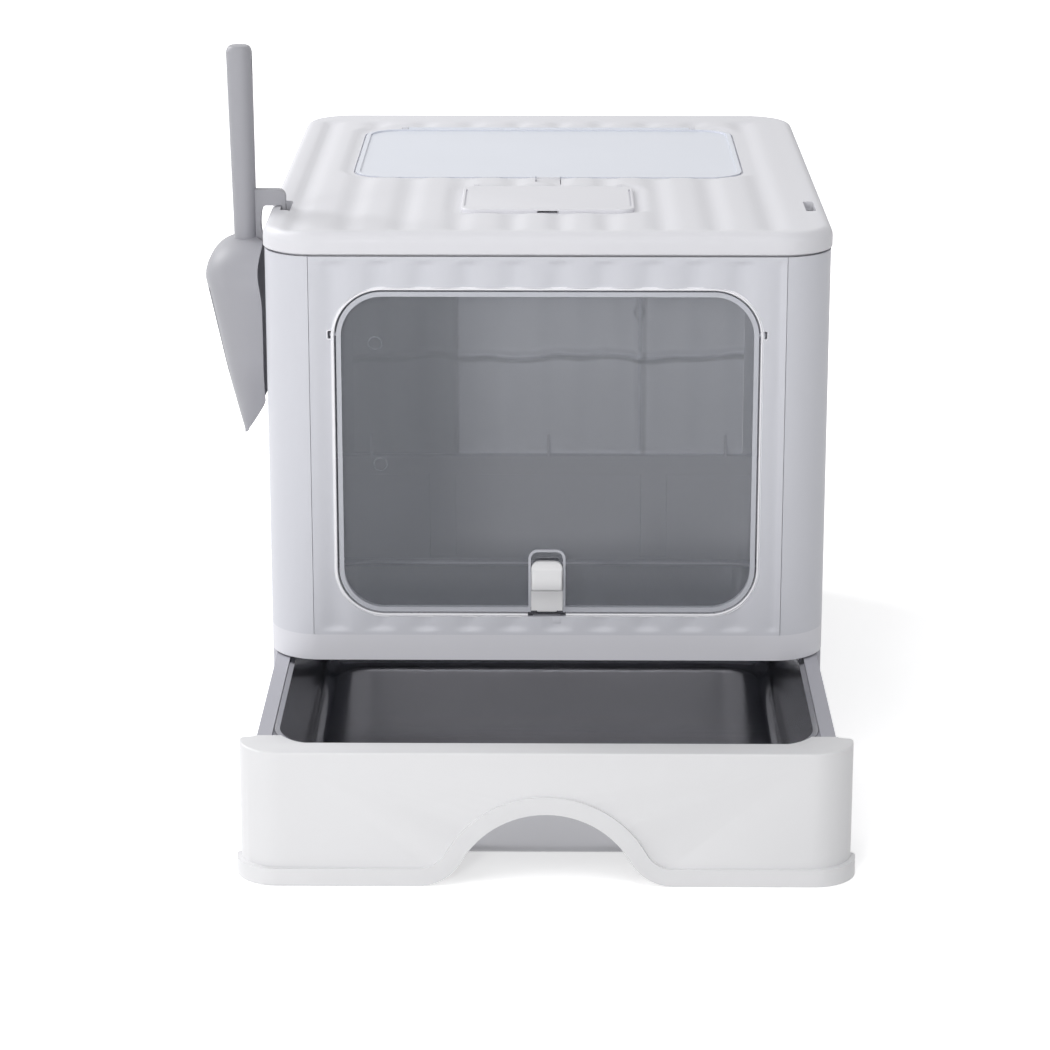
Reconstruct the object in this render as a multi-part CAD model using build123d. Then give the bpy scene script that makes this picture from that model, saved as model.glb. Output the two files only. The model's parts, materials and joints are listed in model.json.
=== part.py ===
from build123d import *
import math
import os

# Drawer litter box: a lower housing with a pull-out drawer, four upright walls on a
# collar band, a swinging clear door, and a lid with a top hatch, a pocket flap and a
# scoop hung on its edge. Millimetres. The origin is the centre of the housing's
# underside, +X is right seen from the front, +Y is to the back and +Z is up.
# The drawer is drawn pulled part of the way out.

# ---- overall sizes -------------------------------------------------------------
body_width = 410.0
body_depth = 520.0
corner_radius = 38.0
base_height = 97.0
band_height = 19.4
wall_height = 283.4
lid_height = 16.0

# ---- clearances ----------------------------------------------------------------
seam_gap = 0.4
rest_gap = 0.3
pin_gap = 0.05
slide_gap = 0.3

# ---- lower housing -------------------------------------------------------------
shell_wall = 3.0
floor_thickness = 3.0
ear_setback = 38.0
runner_height = 7.0
runner_width = 12.0
strip_inner_x = 82.0
strip_width = 23.0
strip_floor = 21.0
strip_depth = 1.2

# ---- collar band ---------------------------------------------------------------
ledge_width = 9.0
ledge_thickness = 3.0
gusset_setback = 49.0
gusset_foot = 0.8
gusset_height = 18.0
gusset_thickness = 2.4

# ---- upright walls -------------------------------------------------------------
wall_thickness = 3.0
seam_setback = 33.5
wave_pitch = 32.5
wave_depth = 1.3
wave_phase = 8.2
plain_band = 6.0
crease_x = 78.0
crease_height = 93.0
crease_width = 1.6
crease_depth = 0.8

# ---- door opening and door -----------------------------------------------------
door_jamb = 19.5
door_head = 25.8
door_radius = 33.0
door_sill = 17.6
door_gap = 2.0
frame_width = 3.5
frame_depth = 7.0
frame_chamfer = 1.2
pane_thickness = 2.0
door_lip_width = 3.5
door_lip_depth = 5.0
pivot_drop = 31.5
pivot_radius = 1.5
pivot_length = 2.4
notch_width = 2.8
notch_height = 6.0

# ---- door latch ----------------------------------------------------------------
slider_width = 23.0
slider_height = 37.4
slider_lift = 1.8
slider_thickness = 3.2
slider_radius = 5.0
shelf_drop = 16.2
shelf_height = 6.0
shelf_reach = 6.0
neck_width = 15.4
latch_travel_up = 6.5
latch_travel_down = 3.6
latch_tongue = 1.4
slot_lip_width = 1.8
slot_lip_depth = 2.2
slot_lip_gap = 0.3
backplate_width = 24.0
backplate_height = 28.0
backplate_thickness = 1.6
keeper_depth = 4.5
keeper_wall = 2.4

# ---- lid -----------------------------------------------------------------------
lid_overhang = 1.0
lid_edge_radius = 7.5
lid_skin = 2.6
lid_plate_top = 15.4
lid_wave_pitch = 39.6
lid_centre_pitch = 34.3
lid_wave_centre = 8.7
lid_wave_depth = 2.2
lid_waves_each_side = 4
field_side_border = 19.0
field_front = 18.0
field_back_border = 40.0
field_radius = 16.0
lid_plate_underside = 9.0
locating_lip_depth = 8.0
locating_lip_width = 1.8
locating_lip_gap = 0.5
hook_slot_inset = 11.3
hook_slot_width = 7.5
hook_slot_length = 37.0
hook_slot_front = 84.5

# ---- top hatch -----------------------------------------------------------------
hatch_side_border = 35.5
hatch_front = 231.0
hatch_length = 224.0
hatch_radius = 28.0
hatch_thickness = 3.4
hatch_lip_width = 3.5
hatch_pane_drop = 1.2
hatch_pane_thickness = 1.9
hatch_seat_level = 11.6
hatch_gap = 0.6
hatch_ledge_side = 7.0
hatch_ledge_front = 34.0
hatch_ledge_back = 38.0
hatch_hole_radius = 22.0
hatch_barrel_radius = 1.9
hatch_ear_room = 33.5
hatch_axis_behind = 0.3
hatch_axis_lift = 0.8
hinge_pad_depth = 12.0
hinge_web_reach = 1.5
hinge_web_thickness = 1.4
hinge_pin_radius = 1.1
hinge_pin_grip = 5.0
hinge_ear_width = 4.7
hinge_ear_radius = 1.9
hatch_tab_width = 18.6
hatch_tab_slit = 0.8
hatch_tab_length = 9.0

# ---- hatch catch ---------------------------------------------------------------
catch_length = 28.6
catch_thickness = 2.4
catch_gap = 0.6
catch_below_crest = 0.9
catch_nose = 0.8
catch_nose_length = 2.0

# ---- pocket flap and the pocket below it ---------------------------------------
flap_width = 128.6
flap_front = 87.0
flap_length = 94.0
flap_radius = 10.0
flap_thickness = 3.8
flap_skin = 1.8
flap_rim = 3.0
flap_seat_level = 13.4
flap_slot_inset = 2.2
flap_slot_width = 1.3
flap_slot_length = 66.0
flap_notch_width = 16.0
flap_notch_depth = 3.2
flap_barrel_radius = 1.7
flap_ear_room = 12.3
flap_axis_lift = 0.3
flap_edge_radius = 1.2
flap_slot_depth = 1.1
flap_seat_border = 6.0
flap_seat_shift = 1.0
pocket_side_border = 8.3
pocket_end_border = 8.0
pocket_depth = 16.0
pocket_wall = 2.0
pocket_radius = 6.0
pocket_flange = 4.0
vent_count = 9
vent_width = 3.0
vent_length = 52.0

# ---- drawer --------------------------------------------------------------------
drawer_open = 199.0
front_top_gap = 0.6
front_lift = 0.4
front_thickness = 22.0
front_overhang = 7.0
front_edge_radius = 1.4
ear_depth = 37.0
ear_rear_inset = 3.0
ear_width = 17.5
ear_curve_width = 17.0
front_corner_radius = 30.0
front_wall = 3.0
foot_height = 12.4
foot_proud = 3.0
foot_rear_gap = 3.0
arch_rise = 52.6
arch_radius = 66.0
arch_foot_x = 88.0
rail_side_gap = 4.5
rail_top_gap = 1.5
rail_top_width = 10.3
rail_web = 2.4
rail_top_thickness = 3.2
rail_ledge_width = 2.6
rail_ledge_drop = 2.5
rear_bar_depth = 10.0
drawer_rear_room = 57.0
screw_tab = 2.6
screw_radius = 1.75
screw_head_radius = 3.4
screw_head_height = 2.2
screw_length = 14.0
screw_low = 28.0
screw_high = 70.0

# ---- steel litter pan ----------------------------------------------------------
pan_steel = 1.0
pan_depth = 82.0
pan_draft = 5.2
pan_corner_radius = 45.0
pan_floor_fillet = 11.0
pan_rim_width = 2.7
pan_side_gap = 0.4
pan_under_front = 9.5
pan_pocket_gap = 0.5

# ---- litter scoop --------------------------------------------------------------
scoop_clear = 7.5
blade_drop = 23.6
blade_length = 148.0
blade_depth = 41.2
blade_width = 100.0
blade_wall = 2.4
tip_in = 26.5
tip_half_width = 8.0
blade_shoulder = 26.0
blade_corner = 30.0
blade_taper_height = 66.0
rim_bend_height = 30.0
scoop_slot_count = 7
scoop_slot_width = 5.0
scoop_slot_pitch = 10.5
scoop_slot_length = 78.0
scoop_slot_below_shoulder = 6.0
handle_length = 149.3
handle_top_thick = 18.0
handle_foot_thick = 15.7
handle_broad = 22.0
handle_lean = 2.1
handle_out = 19.4
handle_sink = 6.0
handle_end_radius = 3.0
hang_hole_width = 7.0
hang_hole_length = 15.0
arm_thickness = 11.8
arm_above_lid = 0.4
arm_width = 9.0
arm_bend = 6.0
prong_width = 3.0
prong_gap = 0.35
prong_drop = 14.0
brace_hollow = 3.5

# ---- places worked out from the sizes above ------------------------------------
front = -body_depth / 2
back = body_depth / 2
half_width = body_width / 2
seam_x = half_width - seam_setback
gusset_spacing = half_width - gusset_setback
door_width = 2 * (seam_x - door_jamb)
door_height = wall_height - door_sill - door_head
band_bottom = base_height
band_top = base_height + band_height
wall_top = band_top + wall_height
lid_bottom = wall_top + rest_gap
lid_top = lid_bottom + lid_height
door_bottom = band_top + door_sill
door_top = door_bottom + door_height
pivot_z = door_top - pivot_drop
pivot_y = front + frame_depth / 2
opening_width = door_width + 2 * door_gap
opening_height = door_height + 2 * door_gap
opening_radius = door_radius + door_gap
door_mid_z = door_bottom + door_height / 2
field_half_width = half_width + lid_overhang - field_side_border
field_back = body_depth - field_back_border
hatch_width = 2 * (field_half_width - hatch_side_border)
hatch_hole_width = hatch_width - 2 * hatch_ledge_side
hatch_hole_front = hatch_front + hatch_ledge_front
hatch_hole_length = hatch_length - hatch_ledge_front - hatch_ledge_back
hatch_barrel_length = hatch_width - 2 * hatch_ear_room
flap_barrel_length = flap_width - 2 * flap_ear_room
pocket_width = flap_width - 2 * pocket_side_border
pocket_length = flap_length - 2 * pocket_end_border
hook_slot_x = half_width - hook_slot_inset
front_height = base_height - front_top_gap - front_lift
front_width = body_width + 2 * front_overhang
ear_rear_width = body_width - 2 * ear_rear_inset
rail_outer_x = half_width - rail_side_gap
rail_top = base_height - rail_top_gap
ear_inner_x = rail_outer_x - ear_width
front_inner_x = ear_inner_x - ear_curve_width
drawer_length = body_depth - drawer_rear_room
drawer_front_y = front - drawer_open
ear_rear_y = drawer_front_y + ear_depth
front_back_y = drawer_front_y + front_thickness
drawer_rear_y = drawer_front_y + drawer_length
pan_rim_top = rail_top - rail_ledge_drop + rest_gap + pan_steel
pan_rim_half = rail_outer_x - rail_top_width - pan_side_gap
pan_rim_front = front_back_y - pan_under_front
pan_rim_back = drawer_rear_y - rear_bar_depth - pan_side_gap
pan_mid_y = (pan_rim_front + pan_rim_back) / 2
pan_rim_length = pan_rim_back - pan_rim_front
pan_rim_radius = pan_corner_radius + pan_rim_width
scoop_y = front + hook_slot_front + hook_slot_length / 2
blade_top = lid_top - blade_drop
blade_tip = blade_top - blade_length
handle_centre_x = -half_width - handle_out


def slab(width, depth, z_low, z_high, x=0.0, y=0.0, radius=0.0):
    """Upright block on a rectangle, with its vertical edges rounded where a radius is given."""
    outline = RectangleRounded(width, depth, radius) if radius else Rectangle(width, depth)
    return Pos(x, y, z_low) * extrude(outline, z_high - z_low)


def between(x0, x1, y0, y1, z0, z1, radius=0.0):
    """The same block, given by its two opposite corners."""
    return slab(x1 - x0, y1 - y0, z0, z1, (x0 + x1) / 2, (y0 + y1) / 2, radius)


def upright_plate(width, height, radius, y0, y1, z_mid):
    """Rounded plate that stands in the X-Z plane between two Y levels."""
    outline = RectangleRounded(width, height, radius)
    plane = Plane(origin=(0, y0, z_mid), x_dir=(1, 0, 0), z_dir=(0, -1, 0))
    return extrude(plane * outline, -(y1 - y0))


def rod_x(radius, x0, x1, y, z):
    """Round rod along X."""
    plane = Plane(origin=(x0, y, z), x_dir=(0, 1, 0), z_dir=(1, 0, 0))
    return extrude(plane * Circle(radius), x1 - x0)


def rod_y(radius, y0, y1, x, z):
    """Round rod along Y."""
    plane = Plane(origin=(x, y0, z), x_dir=(1, 0, 0), z_dir=(0, 1, 0))
    return extrude(plane * Circle(radius), y1 - y0)


def half_wave(start, end):
    """Two equal arcs that leave start and reach end level, so neighbours join smoothly."""
    middle = ((start[0] + end[0]) / 2, (start[1] + end[1]) / 2)
    first = TangentArc(start, middle, tangent=(1, 0))
    second = TangentArc(end, middle, tangent=(-1, 0))
    return [first, second]


def wave_line(low, high, valleys, crest_level, valley_level):
    """Corrugation from low to high: level at both ends, dipping at each valley."""
    edges = []
    here = (low, crest_level)
    for number, valley in enumerate(valleys):
        dip = (valley, valley_level)
        if number + 1 < len(valleys):
            reach = (valleys[number + 1] - valley) / 2
        else:
            reach = (valley - valleys[number - 1]) / 2
        if number == 0:
            lead = (valley - (valleys[1] - valley) / 2, crest_level)
            edges.append(Line(here, lead))
            here = lead
        crest = (valley + reach, crest_level)
        edges += half_wave(here, dip)
        edges += half_wave(dip, crest)
        here = crest
    edges.append(Line(here, (high, crest_level)))
    return edges


def valleys_between(low, high, pitch, phase):
    """Valley places on a fixed pitch that leave half a wave free at both ends."""
    first = math.ceil((low + pitch / 2 - phase) / pitch)
    last = math.floor((high - pitch / 2 - phase) / pitch)
    return [phase + pitch * number for number in range(first, last + 1)]


def corrugated_strip(low, high, valleys, thickness, z0, z1):
    """Corrugated sheet along local X with its crests on local Y = 0 and its back at +Y."""
    outer = wave_line(low, high, valleys, 0.0, wave_depth)
    inner = wave_line(low, high, valleys, thickness, thickness + wave_depth)
    ends = [Line((low, 0), (low, thickness)), Line((high, 0), (high, thickness))]
    outline = make_face(outer + inner + ends)
    return Pos(0, 0, z0) * extrude(outline, z1 - z0)


def ring(outer_width, outer_depth, radius, thickness, z0, z1):
    """Closed band with a constant wall."""
    outer = slab(outer_width, outer_depth, z0, z1, radius=radius)
    hole = slab(
        outer_width - 2 * thickness,
        outer_depth - 2 * thickness,
        z0 - 1,
        z1 + 1,
        radius=radius - thickness,
    )
    return outer - hole


# ---- lower housing -------------------------------------------------------------
def base_shell():
    """Side and rear walls on a floor, open at the front, with a runner along each side."""
    walls = ring(body_width, body_depth, corner_radius, shell_wall, 0, base_height)
    floor = slab(body_width - shell_wall, body_depth - shell_wall, 0, floor_thickness,
                 radius=corner_radius - shell_wall / 2)
    shell = walls + floor
    mouth = between(-body_width, body_width, front - 1, front + ear_setback + 1, -1, base_height + 1)
    shell = shell - mouth
    runner_top = floor_thickness + runner_height
    for side in (-1, 1):
        outer = side * (half_width - shell_wall / 2)
        inner = outer - side * runner_width
        shell = shell + between(min(outer, inner), max(outer, inner), front + ear_setback + 1,
                                back - corner_radius, floor_thickness / 2, runner_top)
        strip_mid = side * (strip_inner_x + strip_width / 2)
        rear_inner = back - shell_wall
        shell = shell - between(strip_mid - strip_width / 2, strip_mid + strip_width / 2,
                                rear_inner - 1, rear_inner + strip_depth, strip_floor, base_height + 1)
    return shell


def collar_ring():
    """Band between the housing and the walls, with a ledge and fins that brace the walls."""
    band = ring(body_width, body_depth, corner_radius, shell_wall, band_bottom, band_top)
    ledge = ring(body_width - shell_wall, body_depth - shell_wall, corner_radius - shell_wall / 2,
                 ledge_width + shell_wall / 2, band_top - ledge_thickness, band_top)
    collar = band + ledge
    reach = ledge_width - wave_depth - seam_gap
    rear_face = back - wall_thickness - wave_depth - seam_gap
    for place in (-gusset_spacing, 0.0, gusset_spacing):
        corners = [
            (rear_face - reach, band_top - 0.5),
            (rear_face, band_top - 0.5),
            (rear_face, band_top + gusset_height),
            (rear_face - gusset_foot, band_top + gusset_height),
        ]
        plane = Plane(origin=(place, 0, 0), x_dir=(0, 1, 0), z_dir=(1, 0, 0))
        fin = extrude(plane * make_face(Polyline(*corners, close=True)), gusset_thickness / 2, both=True)
        collar = collar + fin
    return collar


# ---- upright walls -------------------------------------------------------------
def side_wall(side):
    """Corrugated side wall whose plain rounded corners reach the front and rear seams."""
    low = front + corner_radius
    high = back - corner_radius
    valleys = valleys_between(low, high, wave_pitch, 0.0)
    # The strip is drawn with its crests to local -Y, then turned to face the outside.
    strip = corrugated_strip(low, high, valleys, wall_thickness, band_top, wall_top)
    panel = Pos(-half_width, 0, 0) * (Rot(0, 0, 90) * (Rot(0, 0, 180) * strip))
    whole = ring(body_width, body_depth, corner_radius, wall_thickness, band_top, wall_top)
    seam = seam_x + seam_gap / 2
    front_corner = whole & between(-half_width - 1, -seam, front - 1, low, band_top, wall_top)
    rear_corner = whole & between(-half_width - 1, -seam, high, back + 1, band_top, wall_top)
    flat_top = whole & between(-half_width - 1, -seam, low, high, wall_top - plain_band, wall_top)
    flat_foot = whole & between(-half_width - 1, -seam, low, high, band_top, band_top + plain_band)
    wall = panel + front_corner + rear_corner + flat_top + flat_foot
    # The fold line down the middle of the sheet.
    fold = between(-half_width - 1, -half_width + crease_depth + wave_depth,
                   -crease_width / 2, crease_width / 2,
                   band_top + plain_band, wall_top - plain_band)
    wall = wall - fold
    return wall if side < 0 else mirror(wall, about=Plane.YZ)


def seam_panel():
    """Corrugated sheet between the two front seams, crests on the front plane."""
    seam = seam_x - seam_gap / 2
    valleys = valleys_between(-seam, seam, wave_pitch, wave_phase)
    strip = Pos(0, front, 0) * corrugated_strip(-seam, seam, valleys, wall_thickness, band_top, wall_top)
    for low, high in ((band_top, band_top + plain_band), (wall_top - plain_band, wall_top)):
        strip = strip + between(-seam, seam, front, front + wall_thickness, low, high)
    return strip


def rear_wall():
    """The rear sheet: the front sheet's section turned round, with its fold lines."""
    wall = Rot(0, 0, 180) * seam_panel()
    outside = back - wave_depth - crease_depth
    for place in (-crease_x, crease_x):
        wall = wall - between(place - crease_width / 2, place + crease_width / 2, outside, back + 1,
                              band_top + plain_band, wall_top - plain_band)
    level = band_top + crease_height
    wall = wall - between(-seam_x + plain_band, seam_x - plain_band, outside, back + 1,
                          level - crease_width / 2, level + crease_width / 2)
    return wall


def front_panel():
    """The front sheet with a framed opening, two pivot seats and the latch keeper."""
    panel = seam_panel()
    frame = upright_plate(opening_width + 2 * frame_width, opening_height + 2 * frame_width,
                          opening_radius + frame_width, front, front + frame_depth, door_mid_z)
    rim = frame.edges().group_by(Axis.Y)[0]
    panel = panel + chamfer(rim, frame_chamfer)
    keeper_top = door_bottom - door_gap
    keeper_half = neck_width / 2 + slide_gap
    keeper_block = between(-keeper_half - keeper_wall, keeper_half + keeper_wall,
                           front + wave_depth, front + frame_depth,
                           keeper_top - keeper_depth - keeper_wall, keeper_top + 1)
    panel = panel + keeper_block
    opening = upright_plate(opening_width, opening_height, opening_radius,
                            front - 5, front + frame_depth + 5, door_mid_z)
    panel = panel - opening
    tongue_front = pane_front_y() - slide_gap
    tongue_back = pane_front_y() + pane_thickness + slide_gap
    panel = panel - between(-keeper_half, keeper_half, tongue_front, tongue_back,
                            keeper_top - keeper_depth, keeper_top + 1)
    for side in (-1, 1):
        edge = side * opening_width / 2
        inner = edge - side * 1.0
        seat = edge + side * notch_width
        panel = panel - rod_x(pivot_radius + pin_gap, min(inner, seat), max(inner, seat), pivot_y, pivot_z)
        panel = panel - between(min(inner, seat), max(inner, seat), front - 1, front + 1.6,
                                pivot_z - notch_height / 2, pivot_z + notch_height / 2)
    return panel


# ---- door and its latch --------------------------------------------------------
def pane_front_y():
    """Front face of the clear pane, which stands midway in the door's edge lip."""
    return pivot_y - pane_thickness / 2


def door_pane():
    """Clear plate with a raised edge, a slot for the latch and a pivot stub at each side."""
    lip_front = pivot_y - door_lip_depth / 2
    lip_back = pivot_y + door_lip_depth / 2
    outer = upright_plate(door_width, door_height, door_radius, lip_front, lip_back, door_mid_z)
    inner = upright_plate(door_width - 2 * door_lip_width, door_height - 2 * door_lip_width,
                          door_radius - door_lip_width, lip_front - 1, lip_back + 1, door_mid_z)
    pane = upright_plate(door_width - door_lip_width, door_height - door_lip_width,
                         door_radius - door_lip_width / 2, pane_front_y(),
                         pane_front_y() + pane_thickness, door_mid_z)
    door = (outer - inner) + pane
    channel = slider_width / 2 + slot_lip_gap
    lip_half = channel + slot_lip_width
    channel_top = door_bottom + slider_lift + slider_height + latch_travel_up + slot_lip_gap
    lip_face = pane_front_y() - slot_lip_depth
    lip_mid = (door_bottom + channel_top + slot_lip_width) / 2
    lip_height = channel_top + slot_lip_width - door_bottom
    lip = upright_plate(2 * lip_half, lip_height, slider_radius + slot_lip_width,
                        lip_face, pane_front_y() + pane_thickness / 2, lip_mid)
    lip_foot = between(-lip_half, lip_half, lip_face, pane_front_y() + pane_thickness / 2,
                       door_bottom, door_bottom + 2 * slider_radius)
    door = door + lip + lip_foot
    cut_mid = (door_bottom - 10 + channel_top) / 2
    cut_height = channel_top - door_bottom + 10
    channel_cut = upright_plate(2 * channel, cut_height, slider_radius + slot_lip_gap,
                                lip_face - 5, pane_front_y(), cut_mid)
    door = door - channel_cut
    slot_half = neck_width / 2 + slot_lip_gap
    slot_top = channel_top - slider_radius
    door = door - between(-slot_half, slot_half, lip_face - 5, lip_back + 5, door_bottom - 5, slot_top)
    back_half = backplate_width / 2 + slot_lip_gap
    door = door - between(-back_half, back_half, pane_front_y() + pane_thickness, lip_back + 5,
                          door_bottom - 5, door_bottom + door_lip_width + 1)
    for side in (-1, 1):
        root = side * (door_width / 2 - 1)
        tip = side * (door_width / 2 + door_gap + pivot_length)
        door = door + rod_x(pivot_radius, min(root, tip), max(root, tip), pivot_y, pivot_z)
    return door


def latch_slider():
    """Thumb slider: a rounded plate with a shelf, and a tongue that runs in the pane's slot."""
    low = door_bottom + slider_lift
    high = low + slider_height
    face = pane_front_y() - slide_gap / 2
    plate = upright_plate(slider_width, slider_height, slider_radius, face - slider_thickness, face,
                          (low + high) / 2)
    foot = between(-slider_width / 2, slider_width / 2, face - slider_thickness, face,
                   low, low + 2 * slider_radius)
    shelf_z = high - shelf_drop
    shelf = between(-slider_width / 2 + 1, slider_width / 2 - 1, face - slider_thickness - shelf_reach,
                    face - slider_thickness + 1, shelf_z - shelf_height, shelf_z)
    outer_edge = shelf.edges().filter_by(Axis.X).group_by(Axis.Y)[0]
    shelf = fillet(outer_edge, shelf_height * 0.42)
    tongue_low = door_bottom - latch_tongue
    neck_high = high - slider_radius - slot_lip_gap
    neck = between(-neck_width / 2, neck_width / 2, face, pane_front_y() + pane_thickness + slide_gap / 2,
                   tongue_low, neck_high)
    return plate + foot + shelf + neck


def latch_backplate():
    """Plate behind the pane that holds the slider in its slot."""
    face = pane_front_y() + pane_thickness + slide_gap / 2
    low = door_bottom + slider_lift
    mid = low + backplate_height / 2
    return upright_plate(backplate_width, backplate_height, 2.0, face, face + backplate_thickness, mid)


# ---- lid -----------------------------------------------------------------------
def lid_valleys():
    """Valleys of the lid: narrower waves each side of the middle one, then an even pitch."""
    inner = [lid_wave_centre - lid_centre_pitch, lid_wave_centre, lid_wave_centre + lid_centre_pitch]
    left = [inner[0] - lid_wave_pitch * number for number in range(lid_waves_each_side - 1, 0, -1)]
    right = [inner[2] + lid_wave_pitch * number for number in range(1, lid_waves_each_side)]
    return left + inner + right


def lid():
    """Shallow tray turned upside down, with a corrugated field, two hook slots,
    a seat and opening for the hatch, a seat and opening for the pocket, and a rim
    below that fits inside the walls."""
    width = body_width + 2 * lid_overhang
    depth = body_depth + 2 * lid_overhang
    radius = corner_radius + lid_overhang
    block = slab(width, depth, lid_bottom, lid_top, radius=radius)
    block = fillet(block.edges().group_by(Axis.Z)[-1], lid_edge_radius)
    underside = lid_bottom + lid_plate_underside
    cavity = slab(width - 2 * lid_skin, depth - 2 * lid_skin, lid_bottom - 1, underside,
                  radius=radius - lid_skin)
    body = block - cavity
    lip_out = wall_thickness + wave_depth + locating_lip_gap
    lip = ring(body_width - 2 * lip_out, body_depth - 2 * lip_out, corner_radius - lip_out,
               locating_lip_width, lid_bottom - locating_lip_depth, underside + 1)
    body = body + lip
    # Corrugated field, sunk below the rim.
    crest = lid_bottom + lid_plate_top
    waves = wave_line(-field_half_width - 5, field_half_width + 5, lid_valleys(),
                      crest, crest - lid_wave_depth)
    above = lid_top + 5
    outline = waves + [
        Line((-field_half_width - 5, crest), (-field_half_width - 5, above)),
        Line((-field_half_width - 5, above), (field_half_width + 5, above)),
        Line((field_half_width + 5, above), (field_half_width + 5, crest)),
    ]
    plane = Plane(origin=(0, front + field_front, 0), x_dir=(1, 0, 0), z_dir=(0, -1, 0))
    sunk = extrude(plane * make_face(outline), -(field_back - field_front))
    sunk = sunk & between(-field_half_width, field_half_width, front + field_front, front + field_back,
                          crest - lid_wave_depth - 1, above, field_radius)
    body = body - sunk
    # Pads that carry the hatch hinge ears and level the seats.
    seat = lid_bottom + hatch_seat_level
    hatch_mid = front + hatch_front + hatch_length / 2
    body = body - slab(hatch_width + 2 * hatch_gap, hatch_length + 2 * hatch_gap, seat, above,
                       0, hatch_mid, hatch_radius + hatch_gap)
    hinge_half = hatch_barrel_length / 2 + rest_gap + hinge_ear_width + hatch_gap
    hinge_y = hatch_hinge_y()
    body = body - between(-hinge_half, hinge_half, hinge_y - hinge_pad_depth, hinge_y + hatch_barrel_radius + hatch_gap,
                          seat, above)
    body = body - slab(hatch_hole_width, hatch_hole_length, underside - 1, above,
                       0, front + hatch_hole_front + hatch_hole_length / 2, hatch_hole_radius)
    flap_seat = lid_bottom + flap_seat_level
    flap_mid = front + flap_front + flap_length / 2
    body = body - slab(flap_width + 2 * flap_seat_border, flap_length + 2 * flap_seat_border, flap_seat, above,
                       0, flap_mid + flap_seat_shift, flap_radius)
    body = body - slab(pocket_width, pocket_length, underside - 1, above, 0, flap_mid, pocket_radius)
    # Window for the hatch catch.
    tongue_half = hatch_tab_width / 2 + catch_gap
    tongue_front = front + hatch_front - catch_length - 2 * catch_gap
    body = body - between(-tongue_half, tongue_half, tongue_front, front + hatch_front + 1,
                          underside - 1, above)
    for side in (-1, 1):
        body = body - slab(hook_slot_width, hook_slot_length, underside - 1, above,
                           side * hook_slot_x, scoop_y)
        body = body + hinge_ear(side, hatch_barrel_length / 2, hatch_hinge_y(), hatch_hinge_z(), seat)
        body = body + hinge_ear(side, flap_barrel_length / 2, flap_hinge_y(), flap_hinge_z(), flap_seat)
    return body


def hinge_ear(side, barrel_half, y, z, seat):
    """Small round-topped ear with a pin hole, standing on a seat beside the end of a barrel."""
    near = side * (barrel_half + rest_gap)
    far = near + side * hinge_ear_width
    low = min(near, far)
    high = max(near, far)
    leg = between(low, high, y - hinge_ear_radius, y + hinge_ear_radius, seat - 0.5, z)
    ear = leg + rod_x(hinge_ear_radius, low, high, y, z)
    return ear - rod_x(hinge_pin_radius + pin_gap / 2, low - 1, high + 1, y, z)


def hatch_hinge_y():
    """The hatch turns just behind its rear edge."""
    return front + hatch_front + hatch_length + hatch_barrel_radius + hatch_axis_behind


def hatch_hinge_z():
    """Its axis is high enough for the barrel to clear the seat."""
    return lid_bottom + hatch_seat_level + hatch_barrel_radius + hatch_axis_lift


def flap_hinge_y():
    """The flap turns just behind its rear edge."""
    return front + flap_front + flap_length + flap_barrel_radius


def flap_hinge_z():
    """Its axis is high enough for the barrel to clear the seat."""
    return lid_bottom + flap_seat_level + flap_barrel_radius + flap_axis_lift


def hinge_pins(barrel_half, y, z):
    """A pair of plain pins, each through one ear and into the end of the barrel."""
    pins = []
    for side in (-1, 1):
        far = side * (barrel_half + rest_gap + hinge_ear_width)
        deep = side * (barrel_half - hinge_pin_grip)
        pins.append(rod_x(hinge_pin_radius, min(far, deep), max(far, deep), y, z))
    return Compound(children=pins)


def barrel(half, radius, y, z):
    """Hinge barrel with a blind hole in each end for its pin."""
    body = rod_x(radius, -half, half, y, z)
    for side in (-1, 1):
        end = side * (half + 1)
        deep = side * (half - hinge_pin_grip - rest_gap)
        body = body - rod_x(hinge_pin_radius + pin_gap, min(end, deep), max(end, deep), y, z)
    return body


def hatch_panel():
    """Translucent hatch: a thin pane in a raised lip, with a barrel along its rear edge."""
    low = lid_bottom + hatch_seat_level + rest_gap
    high = low + hatch_thickness
    mid = front + hatch_front + hatch_length / 2
    outer = slab(hatch_width, hatch_length, low, high, 0, mid, hatch_radius)
    dish = slab(hatch_width - 2 * hatch_lip_width, hatch_length - 2 * hatch_lip_width,
                high - hatch_pane_drop, high + 1, 0, mid, hatch_radius - hatch_lip_width)
    hollow_top = high - hatch_pane_drop - hatch_pane_thickness
    hollow = slab(hatch_width - 2 * hatch_lip_width, hatch_length - 2 * hatch_lip_width,
                  low - 1, hollow_top, 0, mid, hatch_radius - hatch_lip_width)
    hatch = outer - dish - hollow
    for side in (-1, 1):
        slit = side * (hatch_tab_width + hatch_tab_slit) / 2
        hatch = hatch - slab(hatch_tab_slit, hatch_tab_length, low - 1, high + 1,
                             slit, front + hatch_front + hatch_tab_length / 2)
    half = hatch_barrel_length / 2
    y = hatch_hinge_y()
    z = hatch_hinge_z()
    web = between(-half, half, y - hatch_barrel_radius - hinge_web_reach, y - hatch_barrel_radius / 2,
                  z - hinge_web_thickness / 2, z + hinge_web_thickness / 2)
    web = web - rod_x(hatch_barrel_radius * 0.9, -half - 1, half + 1, y, z)
    return hatch + web + barrel(half, hatch_barrel_radius, y, z)


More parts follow.
